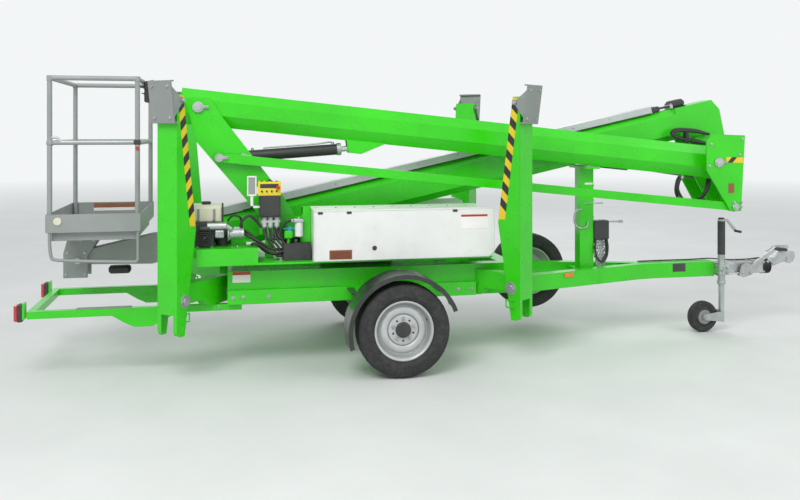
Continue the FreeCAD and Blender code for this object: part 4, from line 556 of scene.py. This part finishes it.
def pin_heads(name, body, place, rows):
    """Flanged heads of pins, each with the keeper plate that stops it turning and its screw."""
    shape = Shape()
    for at, way, radius in rows:
        at, out = Vector(at), Vector((0, way, 0))
        shape.bar(at, at + out * 8, radius + 10, 40).bar(at + out * 8, at + out * 13, radius - 4, 32)
        shape.block(at + Vector((radius * 0.5, 0, -11)), at + Vector((radius + 44, 5 * way, 11)), 2)
        shape.nut(at + Vector((radius + 30, 5 * way, 0)), out, 15, 7)
    shape.done(name, "zinc", body, place)


def boom_details():
    """Pin heads, end covers and lines of the two booms, the tie rod and the knuckle."""
    pin_heads("king_post_pin_heads", "trailer", from_pin("lower_lift"), (
        ((0, -127, 0), -1, 30), ((150, -189, -368), -1, 20), ((325, -117, -364), -1, 16), ((0, 127, 0), 1, 30)))
    pin_heads("knuckle_pin_heads", "knuckle_head", KNUCKLE, (
        ((0, -201, 0), -1, 30), ((150, -201, -368), -1, 20), ((170, 359, 169), 1, 30), ((105, 359, -120), 1, 16)))
    ends = Shape([((-138, -60, -80), (-130, 60, 70))], nuts=[(grid(-138, (-45, 45), (-62, 52)), (-1, 0, 0), 13, 6)])
    ends.done("lower_boom_end_cover", "green", "lower_arm")
    seals = Shape([((-4010, y, 353.5), (-510, y + 2, 360), 0.4) for y in (-62, 60)])
    seals.done("hose_tray_seals", "hose", "upper_arm")
    carrier = Shape(pipes=[(((-520, y, 372), (-400, y, 378), (-290, y, 372), (-215, y * 0.8, 362),
                             (-160, y * 0.8, 352)), 8) for y in (-30, -10, 12, 33)])
    carrier.done("boom_hoses", "hose", "upper_arm")
    hood = Shape([((-508, -60, 356), (-420, 62, 402), 10), ((-318, -48, 352), (-168, 58, 418), 22)])
    hood.done("hose_hoods", "plastic", "upper_arm")
    clamp = Shape([((-320, -52, 354), (-292, 56, 392), 4), ((-470, -52, 354), (-444, 56, 396), 4)],
                  nuts=[(grid(x, (-44, 48), z), UP, 13, 6) for x, z in ((-306, 392), (-457, 396))])
    clamp.done("hose_clamps", "zinc", "upper_arm")
    screws = Shape(nuts=[(grid(range(-3950, -560, 340), way * 60, 390), (0, way, 0), 10, 5) for way in WAYS])
    screws.done("hose_tray_screws", "zinc", "upper_arm")
    lip = Shape([((-4560, way * 85, 150), (-4470, way * 90, 300), 2) for way in WAYS],
                nuts=[(grid(-4515, way * 90, (175, 225, 275)), (0, way, 0), 16, 7) for way in WAYS])
    lip.done("wear_pad_plates", "green", "upper_arm")


def knuckle_details():
    """Warning tape across the knuckle, its bolts and the hoses looped round it."""
    hazard("tape_knuckle", "knuckle_head", (66, -197.5, -2), (224, -197.5, -6), (0, 0, 46), RIGHT, KNUCKLE)
    heads = [(x, -197, z) for x, z in ((-70, 150), (-85, -30), (215, 190), (205, -330), (140, -330), (190, 60))]
    Shape(nuts=[(heads, RIGHT, 18, 8)]).done("knuckle_bolts", "zinc", "knuckle_head")
    Shape([((86, -199, -252), (140, -197, -172), 0.8)]).done("knuckle_worn_patch", "brown", "knuckle_head")
    loop = Shape(pipes=[(((-235, y, -118), (-262, y, -165), (-270, y, -235 + drop), (-215, y, -318 + drop),
                          (-120, y, -330 + drop), (-30, y + 6, -282 + drop), (20, y + 14, -205), (44, y + 34, -150)),
                         12, 6) for y, drop in ((-30, 0), (2, -24))])
    hose = loop.done("knuckle_hose_loops", "hose", None, KNUCKLE)
    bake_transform(hose)
    window = Shape([((-150, 50, 160), (-120, 98, 272), 4)], pipes=[(
        ((74, y, 150), (-40, y, 164 + up), (-210, y, 196 + up), (-268, y, 228 + up), (-210, y, 258 + up),
         (-40, y, 250 + up), (74, y, 232)), 12) for y, up in ((62, 0), (84, 14))])
    window.done("knuckle_top_hoses", "hose", "knuckle_head")
    fittings = Shape(bars=[((-234, y, -112), (-236, y, -140), 16, 6) for y in (-30, 2)])
    fittings.done("boom_hose_fittings", "zinc", "lower_arm", KNUCKLE)


def ring_link(shape, at, along, flat, length, wire):
    """One oval chain link, its length along one direction and its width along another."""
    normal = along.cross(flat)
    rings = []
    for c, s in circle(12):
        arm = along * (c * length / 2) + flat * (s * length * 0.3)
        outward = arm.normalized()
        rings.append([at + arm + wire * (a * outward + b * normal) for a, b in circle(6)])
    shape.loft(rings, closed=True)


def chain(shape, points):
    """A chain of oval links along a line, each turned a quarter from the one before."""
    length, wire = 34.0, 3.6
    line = smooth_line(points, 40)
    pitch, gone, turn = length - 2.6 * wire, 0.0, 0
    for one, two in zip(line, line[1:]):
        gone += (two - one).length
        if gone >= pitch:
            gone -= pitch
            along = (two - one).normalized()
            flat = along.orthogonal().normalized()
            if turn % 2:
                flat = along.cross(flat)
            ring_link(shape, two, along, flat, length, wire)
            turn += 1


def engine_details():
    """Air cleaner, carburettor, starter, exhaust, pump and hoses of the open engine."""
    pump_bolts = [(-1178, -470 + 44 * c, 972 + 44 * s) for c, s in circle(4, 45)]
    intake = Shape([((-1276, -560, 955), (-1214, -500, 1006), 6), ((-1150, -430, 930), (-1080, -380, 1010), 5)], bars=[
        ((-1330, -522, 1034), (-1196, -522, 1034), 25), ((-1200, -520, 1034), (-1168, -508, 1010), 17),
        ((-1262, -566, 975), (-1262, -556, 975), 12), ((-1228, -572, 992), (-1228, -558, 992), 7),
        ((-1180, -470, 972), (-1074, -470, 972), 38), ((-1190, -470, 972), (-1178, -470, 972), 52),
        ((-1110, -470, 972), (-1098, -470, 972), 46)], nuts=[(pump_bolts, AHEAD, 12, 6)])
    intake.done("engine_intake_and_pump", "zinc")
    fins = Shape([((-1390, -536, z), (-1300, -498, z + 5), 1.5) for z in range(905, 1004, 14)]
                 + [((-1380, -548, 1012), (-1310, -500, 1034), 4), ((-1425, -300, 905), (-1405, -215, 1040), 6)],
                 bars=[((-1345, -590, 960), (-1345, -530, 960), 9, 6), ((-1330, -196, 960), (-1190, -196, 960), 42)])
    fins.done("engine_fins_and_exhaust", "iron")
    housing = ((0, 0), (84, 0), (88, 4), (88, 16), (80, 22), (60, 24), (56, 20), (34, 20), (30, 25), (0, 26))
    starter = Shape(turned=[(housing, (-1414, -350, 973), (-1, 0, 0), 48)], bars=[
        ((-1438, -350 + 68 * c, 973 + 68 * s), (-1442, -350 + 68 * c, 973 + 68 * s), 6, 10) for c, s in circle(10)]
        + [((-1428, -350, 1066), (-1470, -350, 1072), 9)])
    starter.done("engine_starter", "plastic")
    lid = ((0, 0), (31, 0), (33, 3), (33, 17), (29, 21), (0, 22))
    cap = Shape([((-1448, -362, 1060), (-1444, -338, 1176), 1)], turned=[(lid, (-1340, -350, 1174), UP, 32)], bars=[
        ((-1224, -474, 905), (-1224, -474, 1190), 6), ((-1224, -474, 1184), (-1224, -420, 1184), 6)])
    cap.done("fuel_cap_and_guard_rod", "plastic")
    strap = Shape([((x, -464, 1062), (x + 16, -460, 1150), 1) for x in (-1400, -1290)],
                  nuts=[(grid((-1392, -1282), -464, 1072), RIGHT, 12, 6)])
    strap.done("tank_straps", "foot")
    hoses = Shape(pipes=[
        (((-1100, -470, 1008), (-1090, -474, 1060), (-1040, -466, 1096), (-990, -455, 1060), (-952, -452, 1010)), 10),
        (((-1080, -440, 972), (-1020, -470, 940), (-950, -486, 900), (-880, -488, 860), (-796, -470, 850)), 11),
        (((-1080, -410, 990), (-1030, -440, 960), (-970, -462, 880), (-900, -470, 830), (-796, -460, 812)), 11),
        (((-1190, -440, 1063), (-1150, -450, 1100), (-1100, -440, 1080), (-1090, -420, 1010)), 8)])
    hoses.done("engine_hoses", "hose")
    bolts = Shape(nuts=[(grid((-1380, -1230, -1080, -1000), -510, 845), RIGHT, 14, 7),
                        (grid((-1395, -1300, -1120), -505, 883), UP, 14, 7)])
    bolts.done("engine_tray_bolts", "zinc")


def ground_controls():
    """Switches, solenoids, filter and hoses round the ground control box."""
    columns = (-950, -915, -880, -845)
    knobs = Shape([((-962, -467, 1292), (-832, -464.5, 1322), 1)],
                  bars=[((x, -452, 1330), (x, -452, 1344), 8) for x in columns]
                  + [((x, -460, 1268), (x, -476, 1270), 7) for x in columns]
                  + [((-892, -400, 1336), (-892, -400, 1350), 14)])
    knobs.done("panel_switches", "plastic")
    Shape(bars=[((-836, -462, 1296), (-836, -490, 1296), 15)]).done("stop_button", "red")
    holder = Shape([((-1054, -462, 1236), (-1044, -450, 1380), 1.5), ((-997, -462, 1236), (-987, -450, 1380), 1.5),
                    ((-1044, -462, 1236), (-997, -450, 1248), 1.5), ((-1044, -462, 1368), (-997, -450, 1380), 1.5),
                    ((-987, -458, 1250), (-972, -452, 1300), 1), ((-1030, -458, 1150), (-1010, -452, 1238), 1),
                    ((-1030, -458, 1150), (-962, -452, 1166), 1)])
    holder.done("manual_holder_frame", "white")
    Shape([((-1045, -457, 1247), (-996, -453, 1369), 1)]).done("manual_holder_back", "grey")
    lid = Shape([((-961, -480, 1092), (-821, -475, 1230))],
                bars=[((x, -480, z), (x, -484, z), 6, 12) for x, z in grid((-952, -830), (1102, 1220))])
    lid.done("control_box_lid", "plastic")
    coils_x = (-932, -888, -842)
    coils = Shape([((-956, -452, 1042), (-818, -428, 1060))],
                  bars=[((x, -440, 1012), (x, -440, 1083), 18) for x in coils_x]
                  + [((x, -440, 1000), (x, -440, 1013), 10, 6) for x in coils_x])
    coils.done("valve_coils", "silver")
    hoses = Shape(pipes=[
        (((x, -440, 1004), (x + 4, -452, 960), (x + 40, -470, 925), (end - 12, -430, 925), (end, -400, 893)), 9)
        for x, end in zip(coils_x, (-770, -725, -680))] + [
        (((-720, -470, 1056), (-770, -480, 1050), (-800, -470, 1000), (-790, -440, 940), (-776, -420, 894)), 10),
        (((-650, -420, 893), (-650, -430, 925), (-640, -425, 940), (-624, -400, 930), (-618, -380, 893)), 12)])
    hoses.done("control_hoses", "hose")
    Shape(bars=[((-687, -478, 942), (-687, -478, 1046), 29)]).done("oil_filter", "white")
    head = Shape([((-727, -508, 1044), (-652, -446, 1068), 5)],
                 bars=[((-687, -478, 1066), (-687, -478, 1080), 12, 6), ((-727, -478, 1056), (-742, -478, 1056), 13, 6)]
                 + [((x, -400, 893), (x, -400, 912), 13, 6) for x in (-760, -700, -640)])
    head.done("filter_head", "zinc")
    valve = Shape([((-766, -496, 985), (-738, -470, 1014), 4)], bars=[
        ((-738, -483, 1000), (-716, -480, 1000), 6), ((-800, -483, 1000), (-766, -483, 1000), 4)])
    valve.done("suction_valve", "cyan")
    strainer = Shape([((-792, -500, 930), (-732, -452, 985), 8)], bars=[((-762, -476, 893), (-762, -476, 932), 10)])
    strainer.done("suction_filter", "green")
    nest = Shape(pipes=[(((x, -420, 1000), (x + 14, -462, 930), (x + 60, -486, 870), (x + 74, -492, 815),
                          (x + 118, -488, 806)), 9) for x in range(-925, -828, 32)] + [
        (((-1040, -500, 893), (-1000, -520, 905), (-950, -510, 880), (-880, -500, 830), (-800, -495, 840)), 10)])
    nest.done("valve_hoses", "hose")
    Shape(bars=[((-1062, -500, 901), (-996, -500, 901), 17)]).done("line_filter", "zinc")
    bracket = Shape([((-664, -452, 895), (-598, -444, 1155), 1.5), ((-664, -452, 1100), (-656, -400, 1155), 1.5),
                     ((-664, -510, 1068), (-656, -444, 1078), 1.5)])
    bracket.done("filter_bracket", "green")
    cover = Shape([((-794, -457.5, 785), (-612, -455, 876), 2)],
                  bars=[((x, -455, z), (x, -459, z), 6, 12) for x, z in grid((-790, -700, -616), (792, 868))])
    cover.done("valve_box_cover", "plastic")


def cover_details():
    """Hinges, lock, plates and vents of the two doors, and the posts and caps of the batteries."""
    room = 304
    starts = range(-536, 680, room)
    for side, sign in SIDES:
        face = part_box(f"door_{side}")[sign > 0].y * 1000
        middle, body = sign * 472, f"{side}_door"

        def plate(x0, x1, z0, z1, thick, cut=1.0):
            return (x0, face, z0), (x1, face + sign * thick, z1), cut

        hinges = (-565, -360, 420)
        fittings = Shape([plate(x, x + 34, 1112, 1128, 4) for x in hinges],
                         bars=[((x + 17, face, 1120), (x + 17, face + sign * 6, 1120), 5) for x in hinges]
                         + [((-160, face, 864), (-160, face + sign * 3, 864), 17, 32),
                            ((-160, face, 864), (-160, face + sign * 7, 864), 9)])
        fittings.done(f"door_fittings_{side}", "plastic", body)
        vent = Shape([plate(-484, -322, 790, 856, 1.6)]
                     + [plate(-474, -332, z, z + 5, 5, 0.8) for z in range(798, 843, 11)])
        vent.done(f"door_vent_{side}", "brown", body)
        Shape([plate(476, 690, 985, 1098, 0.6, 0.2)]).done(f"door_plate_{side}", "plate_white", body)
        Shape([plate(482, 684, 1074, 1090, 0.9, 0.2)]).done(f"door_plate_band_{side}", "plate_red", body)
        rims = Shape([plate(-590, 690, 1130, 1137, 2.2), plate(-592, -585, 784, 1137, 2.2),
                      plate(-590, 690, 781, 788, 2.2)])
        rims.done(f"door_rims_{side}", "white", body)
        Shape(nuts=[(grid(range(-560, 700, 140), sign * 470, 1142), UP, 12, 5)]).done(f"cover_screws_{side}", "zinc")
        lids = Shape([((x + 4, middle - 84, 1044), (x + room - 54, middle + 84, 1052)) for x in starts],
                     bars=[((x + cell, middle, 1051), (x + cell, middle, 1062), 17)
                           for x, cell in grid(starts, (50, 125, 200))])
        lids.done(f"battery_lids_{side}", "plastic")
        posts = list(grid([x + 30 for x in starts], (middle - 55, middle + 55)))
        posts = Shape(bars=[((x, y, 1051), (x, y, 1068), 9) for x, y in posts],
                      nuts=[([(x, y, 1060) for x, y in posts], UP, 15, 7)])
        posts.done(f"battery_posts_{side}", "zinc")
        cables = Shape(pipes=[(((x, sign * 417, 1072), (x + 80, sign * 417, 1092), (x + 220, sign * 500, 1092),
                                (x + room, sign * 527, 1072)), 7) for x in range(-506, 300, room)])
        cables.done(f"battery_cables_{side}", "hose")


def basket_details():
    """Tread on the floor, entry step, clamps, foot flanges, controls and the blank strip of the basket."""
    rear, front, right, left = -128, 490, -550, 460
    floor, rail = 267, 1320
    corners = list(grid((rear + 22, front - 22), (right + 22, left - 22)))

    def keep(shape, name, finish):
        shape.done(name, finish, "work_basket")

    tread = Shape()
    for i, j in grid(range(13), range(24)):
        x, y = rear + 34 + i * 44, right + 28 + j * 41
        long, wide = (11, 3) if (i + j) % 2 else (3, 11)
        tread.loft([[(x + a * share * long, y + b * share * wide, z) for a, b in ((-1, -1), (1, -1), (1, 1), (-1, 1))]
                    for share, z in ((1.0, floor), (0.5, floor + 1.6))])
    keep(tread, "basket_tread", "grey")
    keep(Shape(pipes=[((
        (rear + 22, right + 14, 262), (rear + 24, right + 12, 180), (rear + 34, right + 12, 100),
        (rear + 62, right + 12, 78), (rear + 200, right + 12, 66), (front - 80, right + 12, 50),
        (front - 24, right + 12, 56), (front - 18, right + 12, 100), (front - 18, right + 14, 262)), 11, 10)]),
        "entry_step", "grey")
    keep(Shape(bars=[((-30, right + 20, 878), (front - 40, right + 20, 878), 11)], pipes=[(
        ((-110, right + 24, 872), (-100, right + 22, 906), (-62, right + 20, 912), (-30, right + 20, 880)), 10)]),
        "sliding_bar_end", "silver")
    keep(Shape([((front - 46, right + 2, 862), (front - 2, right + 46, 896), 4)]), "rail_clamp", "plastic")
    keep(Shape(bars=[((front - 22, right - 1, 836), (front - 22, right + 20, 836), 13)]), "clamp_knob", "red")
    keep(Shape([((rear + 2, right + 2, 856), (rear + 46, right + 46, 894), 9)],
               bars=[((x, y, rail - 22), (x, y, rail + 16), 19.5) for x, y in corners]), "rail_elbows", "grey")
    feet = Shape()
    for x, y in corners:
        inward, across = (1 if x < 0 else -1), (1 if y < 0 else -1)
        feet.block((x - 15 * inward, y - 16 * across, floor), (x + 40 * inward, y + 46 * across, floor + 7), 2)
        feet.nut((x + 28 * inward, y + 30 * across, floor + 7), UP, 13, 6)
    keep(feet, "post_feet", "foot")
    keep(Shape([((30, left - 6.4, 318), (352, left - 5, 342), 0.3)]), "toe_board_strip", "plate_white")
    keep(Shape([((30, left - 6.4, 346), (352, left - 5, 380), 0.3)]), "toe_board_band", "brown")
    keep(Shape(bars=[((-52, right + 1, 340), (-52, right - 7, 340), 27, 40)]), "toe_board_lamp", "cream")
    keep(Shape(bars=[((x, y, floor + 2), (x, y, floor + 118), 4, 10)
                     for y, x in grid((right + 2.5, left - 2.5), (rear + 2, front - 2))]), "toe_board_corners", "grey")
    face, switches = front - 5, (-190, -160, -130, -60, -30)
    stick = ((0, 0), (24, 0), (22, 8), (10, 22), (7, 30), (7, 54), (13, 60), (15, 72), (10, 80), (0, 82))
    keep(Shape([((face - 3, -214, 1176), (face, -6, 1316), 1)],
               bars=[((face, y, 1230), (face - 7, y, 1230), 8) for y in switches]
               + [((face - 6, y, 1230), (face - 24, y, 1236), 3.5, 12) for y in switches],
               turned=[(stick, (face, -95, 1285), (-1, 0, 0.15), 24)]), "console_switches", "plastic")
    keep(Shape(bars=[((face, -30, 1290), (face - 24, -30, 1290), 15)]), "console_stop_button", "red")
    keep(Shape([((face - 3.6, -205, 1190), (face - 2.6, -110, 1212), 0.3)]), "console_plate", "plate_white")
    heads = ((-80, -100), (50, -100), (-70, 60), (50, 60), (20, 150), (110, 150))
    keep(Shape(bars=[((0, way * 92, 0), (0, way * 98, 0), 24, 32) for way in WAYS],
               nuts=[([(x, way * 88, z) for x, z in heads], (0, way, 0), 16, 7) for way in WAYS]),
         "basket_bracket_bolts", "zinc")
    Shape([((-2063, 26, 634), (-1905, 114, 690), 16)]).done("boom_nose_pad", "hose", "fly")


def hitch_details():
    """Coupling handle and gaiter, brake lever grip and quadrant, jockey crank and the marks of the drawbar."""
    lever = ((3450, 640), (3530, 668), (3620, 664), (3652, 676), (3640, 696), (3560, 700), (3500, 692), (3440, 656))
    latch = ((3600, 550), (3640, 540), (3668, 566), (3660, 600), (3612, 596))
    handle = Shape(prisms=[(lever, "Y", -13, 13), (latch, "Y", -46, -40)],
                   bars=[((3560, -46, 655), (3560, 46, 655), 10)],
                   nuts=[([(x, way * 40, z) for x, z in ((3420, 520), (3470, 548), (3420, 560))], (0, way, 0), 20, 9)
                         for way in WAYS])
    handle.done("coupling_handle", "zinc")
    ribs = [rib for i in range(7) for rib in ((56, 3372 + 11 * i), (64, 3377.5 + 11 * i))]
    gaiter = Shape(turned=[([(30, 3370)] + ribs + [(52, 3450), (30, 3452)], (0, 0, 520), AHEAD, 40)])
    gaiter.done("coupling_gaiter", "hose")
    grip = Shape(bars=[((3470, -62, 676), (3594, -62, 664), 13)] + [
        ((3490 + 16 * i, -62, 674 - 1.5 * i), (3496 + 16 * i, -62, 673.4 - 1.5 * i), 15) for i in range(6)])
    grip.done("brake_lever_grip", "plastic")
    plate = ((3120, 455), (3165, 440), (3245, 462), (3262, 500), (3240, 545), (3190, 560), (3140, 545))
    teeth = [(3180 + 62 * c, 490 + 62 * s) for c, s in spokes(range(20, 120, 16))]
    quadrant = Shape([((3290, -44, 568), (3385, 44, 578), 2)], [(plate, "Y", -78, -74)],
                     [((x, -80, z), (x, -72, z), 5, 10) for x, z in teeth]
                     + [((3000, -62, 470), (3130, -62, 478), 7), ((3000, -62, 470), (2905, -66, 468), 5)],
                     nuts=[(((3150, -78, 480), (3225, -78, 480), (3190, -78, 540)), RIGHT, 15, 7),
                           (grid((3000, 3120, 3240, 3350), 0, 570), UP, 18, 8)])
    quadrant.done("brake_quadrant", "zinc")
    crank = Shape(bars=[((3062, -104, 848), (3062, -188, 848), 11), ((2935, -100, 940), (2935, -100, 962), 26)])
    crank.done("crank_grip", "plastic")
    Shape(bars=[((2935, -100, 650), (2935, -100, 934), 31.2, 36, 0.4)]).done("jockey_tube_sleeve", "plastic")
    band = ((25, 398), (35, 398), (36, 402), (36, 424), (35, 428), (25, 428))
    clamp = Shape(bars=[((2905, -142, 520), (2905, -185, 520), 7), ((2905, -182, 490), (2905, -182, 550), 6)],
                  turned=[(band, (2935, -100, 0), UP, 36, True)],
                  nuts=[(grid(2965, -142, (540, 500)), RIGHT, 20, 10)])
    clamp.done("jockey_clamp_bolts", "zinc")
    Shape([((2500, -66.6, 508), (2618, -65, 578), 0.4)]).done("drawbar_plate", "plastic")
    lean = math.degrees(math.atan2(370, 1220))
    for side, sign in SIDES:
        place = frame_at(axle(1459, sign * 305, 560), -sign * lean, "Z")
        Shape([((-46, 0, -18), (46, 6 * sign, 18))]).done(f"side_reflector_{side}", "amber", "trailer", place)
    cable = Shape(pipes=[
        (((2890, 40, 596), (2960, 46, 590), (3100, 44, 578), (3260, 40, 577), (3400, 36, 585), (3440, 40, 560),
          (3470, 52, 520), (3450, 60, 500)), 5.5),
        (((2890, 40, 596), (2700, 40, 592), (2500, 40, 592), (2230, 34, 592)), 5.5)])
    cable.done("trailer_cable", "hose")
    Shape(bars=[((3452, 60, 502), (3380, 64, 492), 19)]).done("trailer_plug", "plastic")


def rest_details():
    """What hangs on the boom rest's post: box, rods, hook and the loops of the safety chain."""
    Shape([((1764, -112, 806), (1900, -24, 962), 8)]).done("post_box", "plastic")
    Shape([((1688, -96.4, 1260), (1758, -95, 1276), 0.3)]).done("post_band", "plate_white")
    rods = Shape([((1790, -104, 942), (1806, -92, 964), 2)], bars=[
        ((1670, -98, 1107), (1850, -98, 1107), 5, 12), ((1766, -98, 953), (2000, -98, 951), 7, 12),
        ((1990, -98, 951), (2024, -98, 950), 12, 6)], pipes=[(
            ((1660, -103, 1060), (1612, -103, 1050), (1594, -103, 1000), (1600, -103, 940), (1640, -103, 906),
             (1700, -103, 912), (1716, -103, 960)), 7)],
        nuts=[(grid(1766, (-80, -10), (990, 1130, 1250)), AHEAD, 16, 7)])
    rods.done("post_rods_and_hook", "zinc")
    loops = Shape()
    for i, (x, low) in enumerate(((1790, 600), (1815, 575), (1842, 590), (1866, 618))):
        y = -96 + 12 * i
        chain(loops, ((x, y, 815), (x - 16, y - 14, 740), (x - 14, y - 16, low + 60), (x + 8, y - 6, low),
                      (x + 32, y + 4, low + 50), (x + 34, y + 6, 730), (x + 20, y + 4, 815)))
    loops.done("safety_chain", "zinc")
    coil = Shape(pipes=[(((1782, y, 815), (1770, y - 8, 740), (1786, y - 12, 660), (1832, y - 10, 622),
                          (1872, y - 6, 664), (1886, y, 740), (1876, y, 815)), 8) for y in (-112, -84)])
    coil.done("stowed_cable", "hose")
    Shape([((3200, -22, -141), (3460, 22, -131), 2)]).done("boom_wear_strip", "hose", "lower_arm")


def rear_details():
    """Tail lamps with their lenses, and the fixings of the rear frame and the chassis."""
    low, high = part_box("tail_lamps")
    x0, x1 = (low.x - AXLE_X) * 1000, (high.x - AXLE_X) * 1000
    z0, z1 = low.z * 1000, high.z * 1000
    ribs = [z0 + 12 + i * 12.5 for i in range(8)]
    lamps = Shape([((x0 + 24, y - 33, z0), (x1, y + 33, z1), 4) for y in (-420, 420)])
    lamps.done("lamp_bodies", "plastic", replaces=["tail_lamps"])
    lenses = Shape([((x0 + 3, y - 30, z0 + 4), (x0 + 26, y + 30, z1 - 4), 5) for y in (-420, 420)]
                   + [((x0, y - 27, z), (x0 + 4, y + 27, z + 7), 1) for y, z in grid((-420, 420), ribs)])
    lenses.done("lamp_lenses", "lamp")
    bolts = Shape(nuts=[(grid((-1150, -1080, -900, 500, 600), sign * 490, 520), (0, sign, 0), 20, 9) for sign in WAYS]
                  + [([(-1500, sign * 445, 462), (-1250, sign * 445, 450)], (0, sign, 0), 14, 6) for sign in WAYS])
    bolts.done("chassis_bolts", "zinc")
    rivets = Shape(bars=[((391 * c, y, 327 + 391 * s), (396.5 * c, y, 327 + 396.5 * s), 6, 12)
                         for y, (c, s) in grid((-722, 722), spokes(range(40, 190, 25)))])
    rivets.done("mudguard_rivets", "foot")
    Shape([((-2209, -440, 469), (-1848, -400, 478), 1)]).done("rail_step_plate", "foot")
    Shape([((-1156, -456.2, 620), (-1030, -455, 696), 0.3)]).done("beam_plate", "plate_white")
    Shape([((-1156, -456.7, 674), (-1030, -455.9, 696), 0.3)]).done("beam_plate_band", "plate_red")
    ring = Shape(nuts=[([(-200 + 268 * c, 268 * s, 777) for c, s in circle(24)], UP, 18, 9)])
    ring.done("slew_ring_bolts", "zinc")


def ram_details():
    """Glands, ports and steel pipes of the two lift cylinders."""
    for name, turn, mouth, top in (("lower", -4.075, 735, 1), ("upper", 188.344, 620, -1)):
        gland = ((23, mouth - 34), (45, mouth - 34), (47, mouth - 31), (47, mouth - 3), (45, mouth), (23, mouth))
        shape = Shape(turned=[(gland, CENTRE, AHEAD, 40, True)],
                      bars=[((x, 0, 36 * top), (x, 0, 58 * top), 11, 6) for x in (mouth - 60, 70)],
                      pipes=[(((mouth - 60, 0, 54 * top), (mouth - 90, 0, 58 * top), (mouth - 200, 0, 52 * top),
                               (240, 0, 52 * top), (150, 0, 52 * top)), 6)])
        shape.done(f"{name}_ram_gland", "zinc", f"{name}_barrel", from_pin(f"{name}_cylinder_swing", turn))


def make_camera():
    """The camera of the photograph: level, to the right of the lift and looking a little forward."""
    focal_px = 831.0
    wide_px, high_px = 800, 500
    middle_x_px, middle_y_px = 403.0, 131.5
    data = bpy.data.cameras.new("camera")
    data.sensor_width = 36.0
    data.lens = focal_px / wide_px * data.sensor_width
    data.shift_x = (wide_px / 2 - middle_x_px) / wide_px
    data.shift_y = (middle_y_px - high_px / 2) / wide_px
    data.clip_start, data.clip_end = 0.05, 200
    camera = bpy.data.objects.new("camera", data)
    camera.location = axle(-1172, -6495, 1698)
    camera.rotation_euler = (math.radians(90), 0, math.radians(-11.75))
    bpy.context.collection.objects.link(camera)
    bpy.context.scene.camera = camera


def floor_material():
    """A pale matt floor that fades into the background with distance."""
    g = Graph("pale_floor")
    tone = g.ramp(g.noise(1.1, 6, 0.6), 0.3, 0.7, 0.0, 1.0)
    colour = g.mix(tone, (0.66, 0.67, 0.66), (0.72, 0.73, 0.72))
    away = g.add("ShaderNodeVectorMath", {"operation": "LENGTH"})
    g.put(away.inputs[0], g.place)
    fade = g.ramp(away.outputs["Value"], 6.0, 26.0)
    g.finish(Base_Color=colour, Roughness=0.85, Normal=g.bump(g.noise(90.0, 4), 0.04))
    glow = g.add("ShaderNodeEmission", Color=BACKGROUND, Strength=1.0)
    both = g.add("ShaderNodeMixShader", Fac=fade)
    g.put(both.inputs[1], g.shader.outputs[0])
    g.put(both.inputs[2], glow.outputs[0])
    g.put(g.tree.nodes["Material Output"].inputs["Surface"], both.outputs[0])
    return g.material


def make_stage():
    """The floor, the plain background, its light and three lamps."""
    bpy.ops.mesh.primitive_plane_add(size=80, location=(0, 0, -0.0005))
    floor = bpy.context.object
    floor.name = "floor"
    floor.data.materials.append(floor_material())
    world = bpy.data.worlds.new("studio")
    bpy.context.scene.world = world
    world.use_nodes = True
    nodes, links = world.node_tree.nodes, world.node_tree.links
    light, seen = nodes["Background"], nodes.new("ShaderNodeBackground")
    for node, colour, strength in ((light, (0.95, 0.98, 1.0), 0.62), (seen, BACKGROUND, 1.0)):
        node.inputs["Color"].default_value = (*colour, 1)
        node.inputs["Strength"].default_value = strength
    path, either = nodes.new("ShaderNodeLightPath"), nodes.new("ShaderNodeMath")
    either.operation = "MAXIMUM"
    blend = nodes.new("ShaderNodeMixShader")
    for output, socket in (
            (path.outputs["Is Camera Ray"], either.inputs[0]), (path.outputs["Is Glossy Ray"], either.inputs[1]),
            (either.outputs[0], blend.inputs["Fac"]), (light.outputs[0], blend.inputs[1]),
            (seen.outputs[0], blend.inputs[2]), (blend.outputs[0], nodes["World Output"].inputs["Surface"])):
        links.new(output, socket)
    for name, at, turn, size, power in (
        ("key", (-4.5, -7.0, 8.0), (42, 0, -32), 5.0, 620),
        ("fill", (6.0, -5.0, 5.0), (52, 0, 50), 6.0, 160),
        ("back", (2.0, 8.0, 7.0), (-48, 0, -10), 6.0, 220),
    ):
        data = bpy.data.lights.new(name, "AREA")
        data.shape = "SQUARE"
        data.size = size
        data.energy = power
        lamp = bpy.data.objects.new(name, data)
        lamp.location = at
        lamp.rotation_euler = [math.radians(a) for a in turn]
        bpy.context.collection.objects.link(lamp)


bpy.context.scene.view_settings.view_transform = "Standard"
dress_frame()
wheels()
outriggers()
boom_details()
knuckle_details()
engine_details()
ground_controls()
cover_details()
basket_details()
hitch_details()
rest_details()
rear_details()
ram_details()
make_camera()
make_stage()
